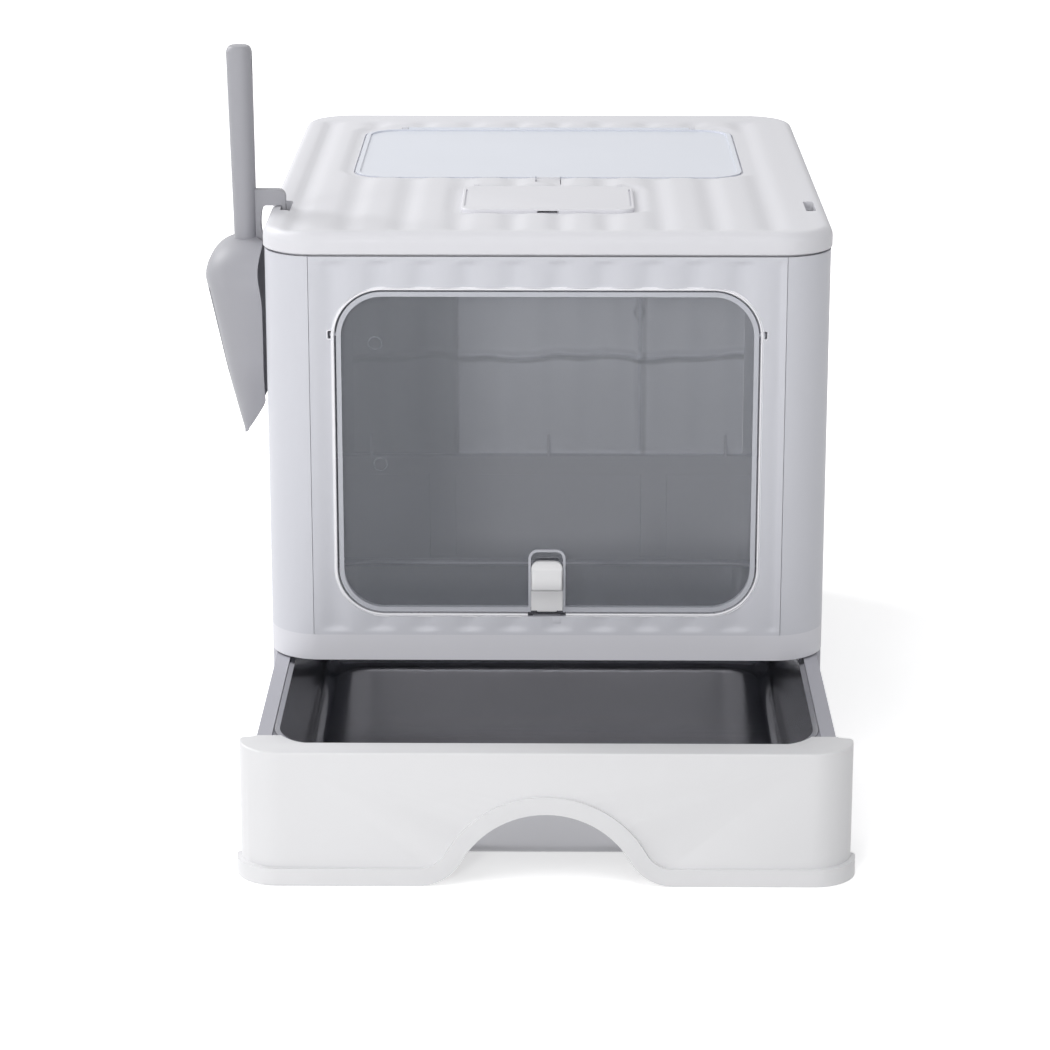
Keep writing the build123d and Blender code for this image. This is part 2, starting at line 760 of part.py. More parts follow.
def hatch_catch():
    """Springy tongue of the lid that holds the front tab of the hatch."""
    tip = front + hatch_front - catch_gap
    top = lid_bottom + lid_plate_top - catch_below_crest
    body = between(-hatch_tab_width / 2, hatch_tab_width / 2, tip - catch_length + catch_gap, tip,
                   top - catch_thickness, top)
    nose = between(-hatch_tab_width / 2, hatch_tab_width / 2, tip - catch_nose_length, tip,
                   top - 0.5, top + catch_nose)
    return body + nose


def flap_cover():
    """Raised lid of the pocket, with a finger notch, two grip slots and a rear barrel."""
    low = lid_bottom + flap_seat_level + rest_gap
    high = low + flap_thickness
    mid = front + flap_front + flap_length / 2
    plate = slab(flap_width, flap_length, low, high, 0, mid, flap_radius)
    plate = fillet(plate.edges().group_by(Axis.Z)[-1], flap_edge_radius)
    hollow = slab(flap_width - 2 * flap_rim, flap_length - 2 * flap_rim, low - 1, high - flap_skin,
                  0, mid, flap_radius - flap_rim)
    plate = plate - hollow
    for side in (-1, 1):
        slot = side * (flap_width / 2 - flap_slot_inset - flap_slot_width / 2)
        plate = plate - slab(flap_slot_width, flap_slot_length, high - flap_slot_depth, high + 1, slot, mid)
    notch = slab(flap_notch_width, 2 * flap_notch_depth, low - 1, low + flap_thickness * 0.68,
                 0, front + flap_front, 1.5)
    plate = plate - notch
    half = flap_barrel_length / 2
    y = flap_hinge_y()
    z = flap_hinge_z()
    web = between(-half, half, y - flap_barrel_radius - hinge_web_reach, y - flap_barrel_radius / 2,
                  z - hinge_web_thickness / 2, z + hinge_web_thickness / 2)
    web = web - rod_x(flap_barrel_radius * 0.9, -half - 1, half + 1, y, z)
    ear_space = hinge_ear_width + 2 * rest_gap
    for side in (-1, 1):
        near = side * (half - rest_gap)
        far = near + side * ear_space * 1.2
        plate = plate - between(min(near, far), max(near, far), y - 2.4, y + 3, low - 1, high + 1)
    return plate + web + barrel(half, flap_barrel_radius, y, z)


def pocket_tray():
    """Cup under the flap, hung by its flange from the lid's underside, with vents in its floor."""
    top = lid_bottom + lid_plate_underside
    mid = front + flap_front + flap_length / 2
    cup = slab(pocket_width + 2 * pocket_wall, pocket_length + 2 * pocket_wall, top - pocket_depth, top,
               0, mid, pocket_radius + pocket_wall)
    flange = slab(pocket_width + 2 * pocket_flange, pocket_length + 2 * pocket_flange, top - pocket_wall,
                  top, 0, mid, pocket_radius + pocket_flange)
    tray = cup + flange - slab(pocket_width, pocket_length, top - pocket_depth + pocket_wall, top + 1,
                               0, mid, pocket_radius)
    spacing = pocket_width / (vent_count + 1)
    for number in range(vent_count):
        x = -pocket_width / 2 + spacing * (number + 1)
        tray = tray - slab(vent_width, vent_length, top - pocket_depth - 1, top - pocket_depth + pocket_wall + 1,
                           x, mid, vent_width * 0.45)
    return tray


# ---- drawer --------------------------------------------------------------------
def arch_outline(grow):
    """Outline of the hand arch seen from the front: a crown arc that meets a flare arc each
    side, tangent to it and to the foot line. grow moves the whole curve outwards."""
    # The flare radius is the one circle tangent to both the crown and the floor line.
    crown_z = arch_rise - arch_radius
    flare = (arch_foot_x ** 2 + crown_z ** 2 - arch_radius ** 2) / (2 * (arch_radius + crown_z))
    crown_r = arch_radius + grow
    flare_r = flare - grow
    centre_gap = arch_radius + flare
    ux = arch_foot_x / centre_gap
    uz = (flare - crown_z) / centre_gap
    joint = (crown_r * ux, crown_z + crown_r * uz)
    foot = (arch_foot_x, grow)
    middle_angle = (math.pi + math.atan2(uz, ux) + 1.5 * math.pi) / 2
    bend = (arch_foot_x + flare_r * math.cos(middle_angle), flare + flare_r * math.sin(middle_angle))
    left_joint = (-joint[0], joint[1])
    left_foot = (-foot[0], foot[1])
    left_bend = (-bend[0], bend[1])
    return [
        ThreePointArc(left_joint, (0, crown_z + crown_r), joint),
        ThreePointArc(joint, bend, foot),
        ThreePointArc(left_joint, left_bend, left_foot),
    ]


def arch_face(grow, depth_below):
    """Closed face of the arch, carried below the floor line."""
    edges = arch_outline(grow)
    right = (arch_foot_x, grow)
    left = (-arch_foot_x, grow)
    low = -depth_below
    edges += [Line(right, (arch_foot_x, low)), Line((arch_foot_x, low), (-arch_foot_x, low)),
              Line((-arch_foot_x, low), left)]
    return make_face(edges)


def front_plan(grow):
    """Plan of the drawer front: straight face, rounded corners that flare to the widest
    point, and ears that reach back along the sides of the pan."""
    half = front_width / 2 + grow
    face = drawer_front_y - grow
    radius = front_corner_radius
    wide_y = face + radius
    ear_x = ear_rear_width / 2
    sweep = Spline((half, wide_y), (ear_x, ear_rear_y), tangents=[(0, 1), (-0.35, 1)])
    inner = Spline((ear_inner_x, ear_rear_y), (front_inner_x, front_back_y),
                   tangents=[(-0.6, -1), (-1, -0.35)])
    corner = ThreePointArc(
        (half - radius, face),
        (half - radius + radius * math.sin(math.pi / 4), wide_y - radius * math.cos(math.pi / 4)),
        (half, wide_y),
    )
    right = [
        Line((0, face), (half - radius, face)),
        corner,
        sweep,
        Line((ear_x, ear_rear_y), (ear_inner_x, ear_rear_y)),
        inner,
        Line((front_inner_x, front_back_y), (0, front_back_y)),
    ]
    left = [mirror(edge, about=Plane.YZ) for edge in right]
    return make_face(right + left)


def drawer_front():
    """White drawer front: a box moulding open below, with ears, a foot and an arched hand hole."""
    low = front_lift
    high = front_lift + front_height
    body = Pos(0, 0, low) * extrude(front_plan(0.0), high - low)
    body = fillet(body.edges().group_by(Axis.Z)[-1], front_edge_radius)
    foot = Pos(0, 0, low) * extrude(front_plan(foot_proud), foot_height)
    foot = foot & between(-front_width, front_width, drawer_front_y - 2 * foot_proud, ear_rear_y - foot_rear_gap,
                          low - 1, low + foot_height + 1)
    body = body + foot
    plane = Plane(origin=(0, drawer_front_y - foot_proud, low), x_dir=(1, 0, 0), z_dir=(0, -1, 0))
    lip = extrude(plane * arch_face(foot_height, 0.0), -(foot_proud + 1))
    body = body + lip
    # The moulding is hollow: open below, with a wall round the arch tunnel.
    cavity = between(-front_width / 2 + front_corner_radius, front_width / 2 - front_corner_radius,
                     drawer_front_y + front_wall, front_back_y - front_wall, low - 1, high - front_wall)
    tunnel = extrude(plane * arch_face(foot_height, 5.0), -(front_thickness + 10))
    body = body - (cavity - tunnel)
    # The rim of the pan tucks under the moulding's top skin, so its back is open to the pan.
    pocket = slab(2 * (pan_rim_half + pan_pocket_gap), pan_rim_length + 2 * pan_pocket_gap,
                  low - 1, pan_rim_top + rest_gap, 0, pan_mid_y, pan_rim_radius + pan_pocket_gap)
    body = body - pocket
    hand_hole = extrude(plane * arch_face(0.0, 5.0), 2 * (front_thickness + foot_proud), both=True)
    body = body - hand_hole
    for x in (-screw_x(), screw_x()):
        for z in (screw_low, screw_high):
            body = body - rod_y(screw_radius + pin_gap, ear_rear_y - screw_length, ear_rear_y + 1, x, z)
    return body


def screw_x():
    """Middle of the tab between the ear's inner corner and the rail's outer face."""
    return (ear_inner_x + rail_outer_x) / 2 + 1


def drawer_frame():
    """Two side rails and a rear bar that carry the pan by its rim, with screw tabs in front."""
    rear = drawer_rear_y
    runner_top = floor_thickness + runner_height
    low = runner_top + slide_gap
    frame_front = ear_rear_y
    depth = rear - frame_front
    inner_x = rail_outer_x - rail_top_width
    ledge_x = inner_x - rail_ledge_width
    outer = between(-rail_outer_x, rail_outer_x, frame_front, rear, low, rail_top)
    web_x = rail_outer_x - rail_web
    bay = between(-web_x, web_x, frame_front - 1, rear - rail_web, low - 1, rail_top - rail_top_thickness)
    seat_z = rail_top - rail_ledge_drop
    rear_inner = rear - rear_bar_depth
    seat = slab(2 * inner_x, 2 * (rear_inner - frame_front), seat_z, rail_top + 1,
                0, frame_front, pan_corner_radius + pan_rim_width)
    window = slab(2 * ledge_x, 2 * (rear_inner - rail_ledge_width - frame_front), low - 1, rail_top + 1,
                  0, frame_front, pan_corner_radius)
    frame = outer - bay - seat - window
    for side in (-1, 1):
        inner = side * (ear_inner_x + 1)
        outer_x = side * rail_outer_x
        tab = between(min(inner, outer_x), max(inner, outer_x), frame_front, frame_front + screw_tab,
                      low, rail_top - rail_top_thickness + 0.5)
        for z in (screw_low, screw_high):
            tab = tab - rod_y(screw_radius + 0.25, frame_front - 1, frame_front + screw_tab + 1,
                              side * screw_x(), z)
        frame = frame + tab
    return frame


def drawer_screws():
    """Four pan-head screws that hold the rails to the drawer front."""
    screws = []
    for x in (-screw_x(), screw_x()):
        for z in (screw_low, screw_high):
            head_seat = ear_rear_y + screw_tab
            shank = rod_y(screw_radius, ear_rear_y - screw_length + 1, head_seat + 0.5, x, z)
            head = rod_y(screw_head_radius, head_seat, head_seat + screw_head_height, x, z)
            screws.append(shank + fillet(head.edges().group_by(Axis.Y)[-1], 1.0))
    return Compound(children=screws)


def litter_pan():
    """Pressed steel pan: drafted walls, large corner and floor radii, and a flat rim."""
    mouth_half = pan_rim_half - pan_rim_width
    mouth_length = pan_rim_length - 2 * pan_rim_width

    def bowl(inset, depth, fillet_radius):
        outline = RectangleRounded(2 * (mouth_half - inset), mouth_length - 2 * inset,
                                   pan_corner_radius - inset)
        block = extrude(outline, -depth, taper=pan_draft)
        block = fillet(block.edges().group_by(Axis.Z)[0], fillet_radius)
        return Pos(0, pan_mid_y, pan_rim_top) * block

    outer = bowl(0.0, pan_depth, pan_floor_fillet + pan_steel)
    inner = bowl(pan_steel, pan_depth - pan_steel, pan_floor_fillet)
    rim = slab(2 * pan_rim_half, pan_rim_length, pan_rim_top - pan_steel, pan_rim_top, 0, pan_mid_y,
               pan_rim_radius)
    hole = slab(2 * (mouth_half - pan_steel), mouth_length - 2 * pan_steel, pan_rim_top - 2 * pan_steel,
                pan_rim_top + 1, 0, pan_mid_y, pan_corner_radius - pan_steel)
    return (outer - inner) + (rim - hole)


# ---- litter scoop --------------------------------------------------------------
def scoop():
    """Slotted shovel with a domed shoulder and a sharp tip, a tapered handle, and a hook arm
    that reaches over the lid's edge and drops into its slot."""
    rim_x = -half_width - scoop_clear
    floor_x = rim_x - blade_depth
    tip_x = floor_x + tip_in
    plane = Plane(origin=(0, scoop_y, 0), x_dir=(1, 0, 0), z_dir=(0, -1, 0))

    def side_profile(inset, rim, bend):
        """Side view of the blade: a domed shoulder, a straight floor to the tip, and the open
        side, which turns at the level bend and runs straight up at rim."""
        top = blade_top - inset
        left = floor_x + inset
        turn = blade_top - blade_shoulder
        return make_face([
            Line((rim, bend), (rim, top)),
            Line((rim, top), (floor_x + blade_shoulder, top)),
            TangentArc((floor_x + blade_shoulder, top), (left, turn), tangent=(-1, 0)),
            Line((left, turn), (tip_x + inset, blade_tip)),
            Line((tip_x + inset, blade_tip), (rim, bend)),
        ])

    def front_profile(inset):
        """Blade seen face on: rounded shoulders and straight sides that close to a blunt point."""
        half = blade_width / 2 - inset
        top = blade_top - inset
        tip = blade_tip - 1 + 2 * inset
        low = blade_tip + blade_taper_height
        corner = blade_corner - inset
        cut = corner * (1 - math.cos(math.pi / 4))
        edges = [
            Line((-half + corner, top), (half - corner, top)),
            ThreePointArc((half - corner, top), (half - cut, top - cut), (half, top - corner)),
            Line((half, top - corner), (half, low)),
            Spline((half, low), (tip_half_width, tip), tangents=[(0, -1), (-1, -0.45)]),
            Line((tip_half_width, tip), (-tip_half_width, tip)),
            Spline((-half, low), (-tip_half_width, tip), tangents=[(0, -1), (1, -0.45)]),
            Line((-half, low), (-half, top - corner)),
            ThreePointArc((-half, top - corner), (-half + cut, top - cut), (-half + corner, top)),
        ]
        return make_face(edges)

    def block(inset, rim, bend):
        flat = extrude(plane * side_profile(inset, rim, bend), blade_width / 2 + 1, both=True)
        face = Plane(origin=(floor_x - 5, scoop_y, 0), x_dir=(0, 1, 0), z_dir=(1, 0, 0))
        return flat & extrude(face * front_profile(inset), 2 * blade_depth)

    hollow = block(blade_wall, rim_x + 2 * blade_wall, blade_tip)
    blade = block(0.0, rim_x, blade_tip + rim_bend_height) - hollow
    high = blade_top - blade_shoulder - scoop_slot_below_shoulder
    for number in range(scoop_slot_count):
        offset = (number - (scoop_slot_count - 1) / 2) * scoop_slot_pitch
        shorten = abs(offset) * 0.45
        blade = blade - between(floor_x - 5, tip_x, scoop_y + offset - scoop_slot_width / 2,
                                scoop_y + offset + scoop_slot_width / 2,
                                high - scoop_slot_length + shorten, high)
    # Handle, a little thicker and further out at its top.
    foot_z = blade_top - handle_sink
    foot = Plane(origin=(handle_centre_x, scoop_y, foot_z), x_dir=(0, 1, 0), z_dir=(0, 0, 1))
    end = Plane(origin=(handle_centre_x - handle_lean, scoop_y, foot_z + handle_length), x_dir=(0, 1, 0),
                z_dir=(0, 0, 1))
    handle = loft([foot * Ellipse(handle_broad / 2, handle_foot_thick / 2),
                   end * Ellipse(handle_broad / 2, handle_top_thick / 2)])
    handle = fillet(handle.edges().group_by(Axis.Z)[-1], handle_end_radius)
    hole_z = foot_z + handle_length - hang_hole_length
    handle = handle - between(handle_centre_x - handle_broad, handle_centre_x + handle_broad,
                              scoop_y - hang_hole_width / 2, scoop_y + hang_hole_width / 2,
                              hole_z - hang_hole_length / 2, hole_z + hang_hole_length / 2)
    # Hook arm: out from the handle, over the lid's edge and down into its slot.
    arm_low = lid_top + arm_above_lid
    arm_high = arm_low + arm_thickness
    prong_near = -hook_slot_x - hook_slot_width / 2 + prong_gap
    prong_far = prong_near + prong_width
    prong_low = lid_top - prong_drop
    neck_low = blade_top - blade_wall
    arm = make_face([
        Line((handle_centre_x, arm_high), (prong_far - arm_bend, arm_high)),
        TangentArc((prong_far - arm_bend, arm_high), (prong_far, arm_high - arm_bend), tangent=(1, 0)),
        Line((prong_far, arm_high - arm_bend), (prong_far, prong_low)),
        Line((prong_far, prong_low), (prong_near, prong_low)),
        Line((prong_near, prong_low), (prong_near, arm_low)),
        Line((prong_near, arm_low), (rim_x, arm_low)),
        ThreePointArc((rim_x, arm_low), (rim_x - brace_hollow, (arm_low + neck_low) / 2), (rim_x, neck_low)),
        Line((rim_x, neck_low), (handle_centre_x, neck_low)),
        Line((handle_centre_x, neck_low), (handle_centre_x, arm_high)),
    ])
    return blade + handle + extrude(plane * arm, arm_width / 2, both=True)


pieces = {
    "base_shell": base_shell,
    "collar_ring": collar_ring,
    "left_wall": lambda: side_wall(-1),
    "right_wall": lambda: side_wall(1),
    "rear_wall": rear_wall,
    "front_panel": front_panel,
    "door_pane": door_pane,
    "latch_slider": latch_slider,
    "latch_backplate": latch_backplate,
    "lid": lid,
    "hatch_panel": hatch_panel,
    "hatch_hinge_pins": lambda: hinge_pins(hatch_barrel_length / 2, hatch_hinge_y(), hatch_hinge_z()),
    "hatch_catch": hatch_catch,
    "flap_cover": flap_cover,
    "flap_hinge_pins": lambda: hinge_pins(flap_barrel_length / 2, flap_hinge_y(), flap_hinge_z()),
    "pocket_tray": pocket_tray,
    "scoop": scoop,
    "drawer_front": drawer_front,
    "drawer_frame": drawer_frame,
    "drawer_screws": drawer_screws,
    "litter_pan": litter_pan,
}

os.makedirs("parts", exist_ok=True)
for name, make in pieces.items():
    export_step(make(), f"parts/{name}.step")
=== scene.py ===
import json
import math

import bmesh
import bpy
import numpy as np
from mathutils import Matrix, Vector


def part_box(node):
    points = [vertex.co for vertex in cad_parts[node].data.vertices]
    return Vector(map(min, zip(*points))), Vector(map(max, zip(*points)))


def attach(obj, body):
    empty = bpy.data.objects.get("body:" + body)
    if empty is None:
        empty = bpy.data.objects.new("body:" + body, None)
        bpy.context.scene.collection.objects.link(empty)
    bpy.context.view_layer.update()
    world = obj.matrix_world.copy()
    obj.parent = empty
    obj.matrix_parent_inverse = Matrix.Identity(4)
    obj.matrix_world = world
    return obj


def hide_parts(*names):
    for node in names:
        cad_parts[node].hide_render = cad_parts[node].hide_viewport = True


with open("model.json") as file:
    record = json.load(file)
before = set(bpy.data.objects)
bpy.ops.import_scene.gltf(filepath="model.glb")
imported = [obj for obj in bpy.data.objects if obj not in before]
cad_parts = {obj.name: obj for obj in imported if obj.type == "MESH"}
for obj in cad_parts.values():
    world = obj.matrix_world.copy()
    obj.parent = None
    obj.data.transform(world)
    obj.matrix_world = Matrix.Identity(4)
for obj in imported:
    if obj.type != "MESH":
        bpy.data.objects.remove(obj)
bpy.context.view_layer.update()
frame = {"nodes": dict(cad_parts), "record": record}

MM = 0.001


# ---- sizes taken from the frame, in millimetres ----------------------------------------

def corners(node):
    """Lowest and highest corner of a CAD node, in millimetres."""
    low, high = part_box(node)
    return np.array(low) / MM, np.array(high) / MM


collar_low, collar_high = corners("collar_ring")
half_width = collar_high[0]
front = collar_low[1]
back = collar_high[1]
panel_low, panel_high = corners("front_panel")
wall_low, wall_high = panel_low[2], panel_high[2]
lid_top = corners("lid")[1][2]
LID_RISE = 16.0
lid_bottom = lid_top - LID_RISE
door_low, door_high = corners("door_pane")
door_half = 152.0
door_mid_z = (door_low[2] + door_high[2]) / 2
scoop_low, scoop_high = corners("scoop")

CORNER = 38.0
WALL = 3.0
WAVE_PITCH = 32.5
WAVE_DEPTH = 1.5
WAVE_PHASE = 8.2


# ---- materials ---------------------------------------------------------------------

def linear(hex_colour):
    """An sRGB hex colour as linear red, green, blue and alpha."""
    parts = [int(hex_colour[i:i + 2], 16) / 255 for i in (0, 2, 4)]
    return tuple(c / 12.92 if c <= 0.04045 else ((c + 0.055) / 1.055) ** 2.4 for c in parts) + (1.0,)


def add(tree, kind, settings=None, **links):
    """Adds a node, sets its properties and plain inputs, and joins links to its inputs."""
    node = tree.nodes.new(kind)
    for name, value in (settings or {}).items():
        if name in node.inputs:
            node.inputs[name].default_value = value
        else:
            setattr(node, name, value)
    for name, source in links.items():
        tree.links.new(source, node.inputs[name.replace("_", " ")])
    return node


def new_material(name):
    material = bpy.data.materials.new(name)
    material.use_nodes = True
    material.node_tree.nodes.clear()
    return material, material.node_tree


def moulded(name, colour, roughness, grain_mm=0.9, grain_depth=0.02, mottle=0.012, shade=None):
    """Injection-moulded plastic: an even colour with faint flow clouds, a fine spark-eroded
    grain in the bump and a soft broad highlight. The grain is drawn a little coarser than the
    real 0.3 mm so that it shows."""
    material, tree = new_material(name)
    place = add(tree, "ShaderNodeTexCoord").outputs["Object"]
    cloud = add(tree, "ShaderNodeTexNoise", {"Scale": 14.0, "Detail": 3.0, "Roughness": 0.6}, Vector=place)
    tone = add(tree, "ShaderNodeMix", {"data_type": "RGBA"}, Factor=cloud.outputs["Fac"])
    base = linear(colour)
    tone.inputs["A"].default_value = tuple(c * (1 - mottle) for c in base[:3]) + (1.0,)
    tone.inputs["B"].default_value = tuple(min(1.0, c * (1 + mottle)) for c in base[:3]) + (1.0,)
    hue = tone.outputs["Result"]
    # A named point attribute multiplies painted light and shade into the colour.
    if shade:
        painted_light_and_shade = add(tree, "ShaderNodeAttribute", {"attribute_name": shade}).outputs["Color"]
        hue = add(tree, "ShaderNodeMix", {"data_type": "RGBA", "blend_type": "MULTIPLY", "Factor": 1.0},
                  A=hue, B=painted_light_and_shade).outputs["Result"]
    grain = add(tree, "ShaderNodeTexNoise", {"Scale": 1.0 / (grain_mm * MM), "Detail": 2.0}, Vector=place)
    bump = add(tree, "ShaderNodeBump", {"Strength": 0.25, "Distance": grain_depth * MM},
               Height=grain.outputs["Fac"])
    spread = add(tree, "ShaderNodeMapRange", {"To Min": roughness - 0.04, "To Max": roughness + 0.04},
                 Value=cloud.outputs["Fac"])
    shader = add(tree, "ShaderNodeBsdfPrincipled", {"IOR": 1.49}, Base_Color=hue,
                 Roughness=spread.outputs["Result"], Normal=bump.outputs["Normal"])
    add(tree, "ShaderNodeOutputMaterial", Surface=shader.outputs["BSDF"])
    return material


def clear_sheet(name, colour, alpha, roughness):
    """Clear or frosted polystyrene: mostly see-through, with a faint haze and a gloss of its own."""
    material, tree = new_material(name)
    place = add(tree, "ShaderNodeTexCoord").outputs["Object"]
    haze = add(tree, "ShaderNodeTexNoise", {"Scale": 9.0, "Detail": 2.0}, Vector=place)
    veil = add(tree, "ShaderNodeMapRange", {"To Min": alpha - 0.02, "To Max": alpha + 0.02},
               Value=haze.outputs["Fac"])
    shader = add(tree, "ShaderNodeBsdfPrincipled",
                 {"Base Color": linear(colour), "Roughness": roughness, "IOR": 1.52},
                 Alpha=veil.outputs["Result"])
    add(tree, "ShaderNodeOutputMaterial", Surface=shader.outputs["BSDF"])
    return material


def pressed_steel(name, colour, roughness):
    """Cold-rolled stainless sheet, pressed: a satin metal with fine rolling lines along X."""
    material, tree = new_material(name)
    place = add(tree, "ShaderNodeTexCoord").outputs["Object"]
    along = add(tree, "ShaderNodeMapping", {"Scale": (4.0, 420.0, 420.0)}, Vector=place)
    lines = add(tree, "ShaderNodeTexNoise", {"Scale": 1.0, "Detail": 4.0}, Vector=along.outputs["Vector"])
    spread = add(tree, "ShaderNodeMapRange", {"To Min": roughness - 0.02, "To Max": roughness + 0.03},
                 Value=lines.outputs["Fac"])
    bump = add(tree, "ShaderNodeBump", {"Strength": 0.04, "Distance": 0.01 * MM}, Height=lines.outputs["Fac"])
    shader = add(tree, "ShaderNodeBsdfPrincipled", {"Base Color": linear(colour), "Metallic": 1.0},
                 Roughness=spread.outputs["Result"], Normal=bump.outputs["Normal"])
    add(tree, "ShaderNodeOutputMaterial", Surface=shader.outputs["BSDF"])
    return material


lid_plastic = moulded("polypropylene_pale_grey", "D9D9DE", 0.5)
wall_plastic = moulded("polypropylene_wall_grey", "CBCCD3", 0.48)
# A lighter copy of the wall grey: on the rear wall's inner face this lighter base is painted light, and the
# point attribute multiplies painted shadow, shade and highlights into it; the outer face is brought down by a
# flat 0.76.
rear_painted_shade_plastic = moulded("polypropylene_wall_grey_painted_shade", "E8E9EF", 0.5, shade="painted_fold_shade")
band_plastic = moulded("polypropylene_band_grey", "D6D6DC", 0.5)
white_plastic = moulded("abs_white", "DEDEE0", 0.38, mottle=0.003)
scoop_plastic = moulded("polypropylene_mid_grey", "9D9DA3", 0.5)
rail_plastic = moulded("polypropylene_rail_grey", "ACACB4", 0.55)
door_plastic = clear_sheet("polystyrene_clear", "B4B9C2", 0.14, 0.08)
lip_plastic = clear_sheet("polystyrene_thick_lip", "C2C4CC", 0.85, 0.2)
hatch_plastic = clear_sheet("polystyrene_frosted", "E3E7F1", 0.86, 0.3)
pan_steel = pressed_steel("stainless_cold_rolled", "A0A0A4", 0.17)
# A near-white copy of the wall plastic: a painted highlight for the door opening's bead and the pivot seat
# rims.
bead_painted_highlight_plastic = moulded("polypropylene_frame_edge_painted_highlight", "EDEDF1", 0.4)
pin_steel = pressed_steel("steel_pin_bright", "B5B5B5", 0.3)

finishes = {
    "base_shell": band_plastic, "collar_ring": band_plastic, "left_wall": wall_plastic,
    "right_wall": wall_plastic, "rear_wall": wall_plastic, "front_panel": wall_plastic,
    "door_pane": lip_plastic, "latch_slider": white_plastic, "latch_backplate": white_plastic,
    "lid": lid_plastic, "pocket_tray": lid_plastic, "hatch_hinge_pins": pin_steel,
    "flap_hinge_pins": pin_steel, "hatch_panel": hatch_plastic, "hatch_catch": lid_plastic,
    "flap_cover": lid_plastic, "scoop": scoop_plastic, "drawer_front": white_plastic,
    "drawer_frame": rail_plastic, "drawer_screws": pin_steel, "litter_pan": pan_steel,
}
for node, finish in finishes.items():
    mesh = frame["nodes"][node].data
    mesh.materials.clear()
    mesh.materials.append(finish)

body_of = {node: body for body, nodes in frame["record"]["behaviour"]["bodies"].items() for node in nodes}


# ---- surfaces ------------------------------------------------------------------------

def smooth_step(value):
    """0 below 0, 1 above 1, and the cubic 3t^2 - 2t^3 between."""
    t = np.clip(value, 0.0, 1.0)
    return t * t * (3 - 2 * t)


def grid_faces(rows, columns, wrap_rows=False, wrap_columns=False):
    """Quads of a grid of points numbered row by row, joined end to end where it wraps."""
    r, c = np.meshgrid(np.arange(rows if wrap_rows else rows - 1),
                       np.arange(columns if wrap_columns else columns - 1), indexing="ij")
    r2, c2 = (r + 1) % rows, (c + 1) % columns
    quads = np.stack([r * columns + c, r * columns + c2, r2 * columns + c2, r2 * columns + c], -1)
    return quads.reshape(-1, 4).tolist()


def joined(*patches):
    """Several (points, faces) patches as one."""
    points, faces, start = [], [], 0
    for some, links in patches:
        points.append(np.asarray(some, float).reshape(-1, 3))
        faces += [tuple(i + start for i in face) for face in links]
        start += len(points[-1])
    return np.concatenate(points), faces


def closed_sheet(outer, inner):
    """A thin sheet between two grids of the same size: the two rows of each pair form a closed
    loop, the loops are joined, and a strip of quads closes each end."""
    rows, columns = outer.shape[:2]
    loop = np.concatenate([outer, inner[:, ::-1]], axis=1)
    faces = grid_faces(rows, 2 * columns, wrap_columns=True)
    i = np.arange(columns - 1)
    mate = 2 * columns - 1 - i
    first = np.stack([i + 1, i, mate, mate - 1], -1)
    last = first[:, ::-1] + (rows - 1) * 2 * columns
    return loop.reshape(-1, 3), faces + first.tolist() + last.tolist()


def outline(width, height, radius, steps=12):
    """Points round a rounded rectangle centred on 0, and their outward normals: four quarter
    circles, one at each corner, joined by the straight sides."""
    angle = np.linspace(0, math.pi / 2, steps + 1)
    turn = (angle[None, :] + np.arange(4)[:, None] * math.pi / 2).reshape(-1)
    normal = np.stack([np.cos(turn), np.sin(turn)], -1)
    centre = np.sign(np.repeat(np.array([[1, 1], [-1, 1], [-1, -1], [1, -1]]), steps + 1, axis=0))
    centre = centre * (np.array([width, height]) / 2 - radius)
    return centre + radius * normal, normal


def upright(u, v, level):
    """Outline in X and Z, level along Y."""
    return np.stack(np.broadcast_arrays(u, level, v), -1)


def flat(u, v, level):
    """Outline in X and Y, level along Z."""
    return np.stack(np.broadcast_arrays(u, v, level), -1)


def sideways(u, v, level):
    """Outline in Y and Z, level along X."""
    return np.stack(np.broadcast_arrays(level, u, v), -1)


def carried(shape, profile, place, middle=(0.0, 0.0), closed=True):
    """A profile of (offset, level) pairs carried round an outline: each point is the outline
    point moved out along its normal by offset, at that level. An open profile gets a cap on
    its first and last loop."""
    points, normals = shape
    profile = np.asarray(profile, float)
    u = points[None, :, 0] + profile[:, :1] * normals[None, :, 0] + middle[0]
    v = points[None, :, 1] + profile[:, :1] * normals[None, :, 1] + middle[1]
    solid = place(u, v, np.broadcast_to(profile[:, 1:2], u.shape))
    count = len(points)
    faces = grid_faces(len(profile), count, wrap_rows=closed, wrap_columns=True)
    if not closed:
        faces.append(tuple(range(count))[::-1])
        faces.append(tuple((len(profile) - 1) * count + i for i in range(count)))
    return solid.reshape(-1, 3), faces


def soft_profile(low, high, edge, steps=3):
    """Open profile of a plate from low to high whose two rims are quarter circles of radius edge."""
    angle = np.linspace(0, math.pi / 2, steps + 1)
    foot = np.stack([-edge + edge * np.sin(angle), low + edge - edge * np.cos(angle)], -1)
    head = np.stack([-edge + edge * np.cos(angle), high - edge + edge * np.sin(angle)], -1)
    return np.concatenate([foot, head])


def mesh_of(name, points, faces):
    """A mesh in metres with its faces turned outwards."""
    mesh = bpy.data.meshes.new(name)
    mesh.from_pydata((np.asarray(points).reshape(-1, 3) * MM).tolist(), [], faces)
    work = bmesh.new()
    work.from_mesh(mesh)
    bmesh.ops.recalc_face_normals(work, faces=work.faces)
    work.to_mesh(mesh)
    work.free()
    return mesh


